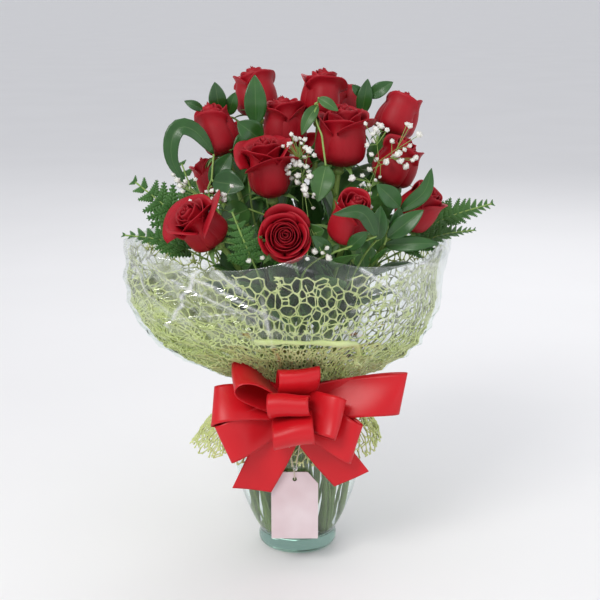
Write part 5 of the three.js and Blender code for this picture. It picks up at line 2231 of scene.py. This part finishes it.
STEM_BLADES = {
    9: (
        Blade(((0.0257, -0.060, 0.393), (0.0184, -0.075, 0.3626)), 0.022, arch=0.1),
        Blade(((0.0187, -0.030, 0.4445), (0.010, -0.036, 0.432), (0.004, -0.040, 0.418)), 0.012),
        Blade(((0.0193, -0.048, 0.4525), (0.037, -0.050, 0.441)), 0.010),
    ),
    4: (Blade(((-0.045, -0.040, 0.350), (-0.070, -0.062, 0.342)), 0.026),),
    7: (Blade(((0.004, -0.080, 0.330), (0.024, -0.100, 0.342)), 0.020),),
}

FERN_FRONDS = (
    ((-0.096, -0.014, 0.322), (-0.152, -0.020, 0.372), (-0.4, -0.7, 0.7), 0.062, True),
    ((-0.102, -0.044, 0.312), (-0.160, -0.044, 0.326), (-0.2, -0.5, 1.0), 0.044, True),
    ((0.112, -0.004, 0.318), (0.184, -0.012, 0.350), (-0.2, -0.7, 0.8), 0.058, False),
    ((0.104, -0.034, 0.312), (0.164, -0.040, 0.330), (0.1, -0.5, 1.0), 0.044, False),
    ((-0.040, -0.096, 0.314), (-0.056, -0.120, 0.362), (-0.1, -1.0, 0.4), 0.038, True),
    ((-0.088, 0.046, 0.306), (-0.118, 0.084, 0.374), (-0.3, 1.0, 0.3), 0.062, True),
    ((0.054, 0.076, 0.300), (0.088, 0.112, 0.368), (0.3, 1.0, 0.3), 0.062, False),
)

GYPSOPHILA_SPRAYS = (
    (
        (0.004, -0.058, 0.388),
        (
            (0.000, -0.062, 0.412, 14),
            (-0.001, -0.060, 0.399, 10),
            (0.004, -0.062, 0.384, 9),
            (0.008, -0.072, 0.368, 5),
            (0.014, -0.105, 0.328, 5),
        ),
    ),
    (
        (0.074, -0.052, 0.396),
        (
            (0.071, -0.055, 0.426, 11),
            (0.092, -0.055, 0.407, 10),
            (0.076, -0.060, 0.398, 6),
            (0.061, -0.070, 0.376, 12),
            (0.098, -0.058, 0.420, 5),
        ),
    ),
    (
        (-0.060, -0.052, 0.350),
        (
            (-0.081, -0.075, 0.364, 11),
            (-0.104, -0.040, 0.374, 8),
            (-0.071, -0.060, 0.372, 7),
            (-0.038, -0.100, 0.329, 6),
        ),
    ),
)


def main() -> None:
    """Builds every piece, in order."""
    Studio().build()
    satin, leaf = SatinFinish().material(), RUSCUS.material()
    fern, stem = FERN.material(), StemFinish().material()
    petal, sepal, rose_leaf = PetalFinish().material(), SEPAL.material(), ROSE_LEAF.material()
    white, fibre, glass = FlowerletFinish().material(), FibreFinish().material(), GLASS.material()
    Tag().build(CardFinish().material(), TwineFinish().material(), glass)
    Vase().build(glass, WATER.material())
    stalks = stalk_tree(stem)
    for number, style in enumerate(BLOOMS, 1):
        bloom, stalk = f"rose_bloom_{number:02d}", f"rose_stem_{number:02d}"
        RoseBloom(bloom, stalk, style.value, 100 + number).build(petal)
        blades = STEM_BLADES.get(number, ())
        RoseStem(stalk, bloom, 200 + number, blades=blades).build(stalks, sepal, rose_leaf, stem)
    for number, sprig in enumerate(RUSCUS_SPRIGS, 1):
        RuscusSprig(f"ruscus_{number:02d}", *sprig, 300 + number).build(stalks, leaf)
    pinnae = {True: pinna_mesh(fern, 6, 0.40, 0.62), False: pinna_mesh(fern, 7, 0.32, 0.66)}
    fronds = {broad: frond_tree(pinna, fern, stem) for broad, pinna in pinnae.items()}
    for number, frond in enumerate(FERN_FRONDS, 1):
        FernFrond(f"fern_{number:02d}", *frond, 400 + number).build(fronds[frond[-1]], stalks)
    for pinna in pinnae.values():
        bpy.data.objects.remove(pinna)
    flowerlet = flowerlet_mesh(white)
    sprays = spray_tree(flowerlet, stem)
    for number, spray in enumerate(GYPSOPHILA_SPRAYS, 1):
        GypsophilaSpray(f"gypsophila_{number:02d}", *spray, 500 + number).build(sprays)
    bpy.data.objects.remove(flowerlet)
    wall = Wall("mesh_wrap", 61)
    MeshWrap("mesh_wrap", wall, 62).build(web_tree(fibre), fibre, FleeceFinish().material())
    FilmWrap("film_wrap", wall, 63).build(FilmFinish().material())
    RibbonBow("ribbon_bow", "ribbon_tie").build(satin)


if __name__ == "__main__":
    main()
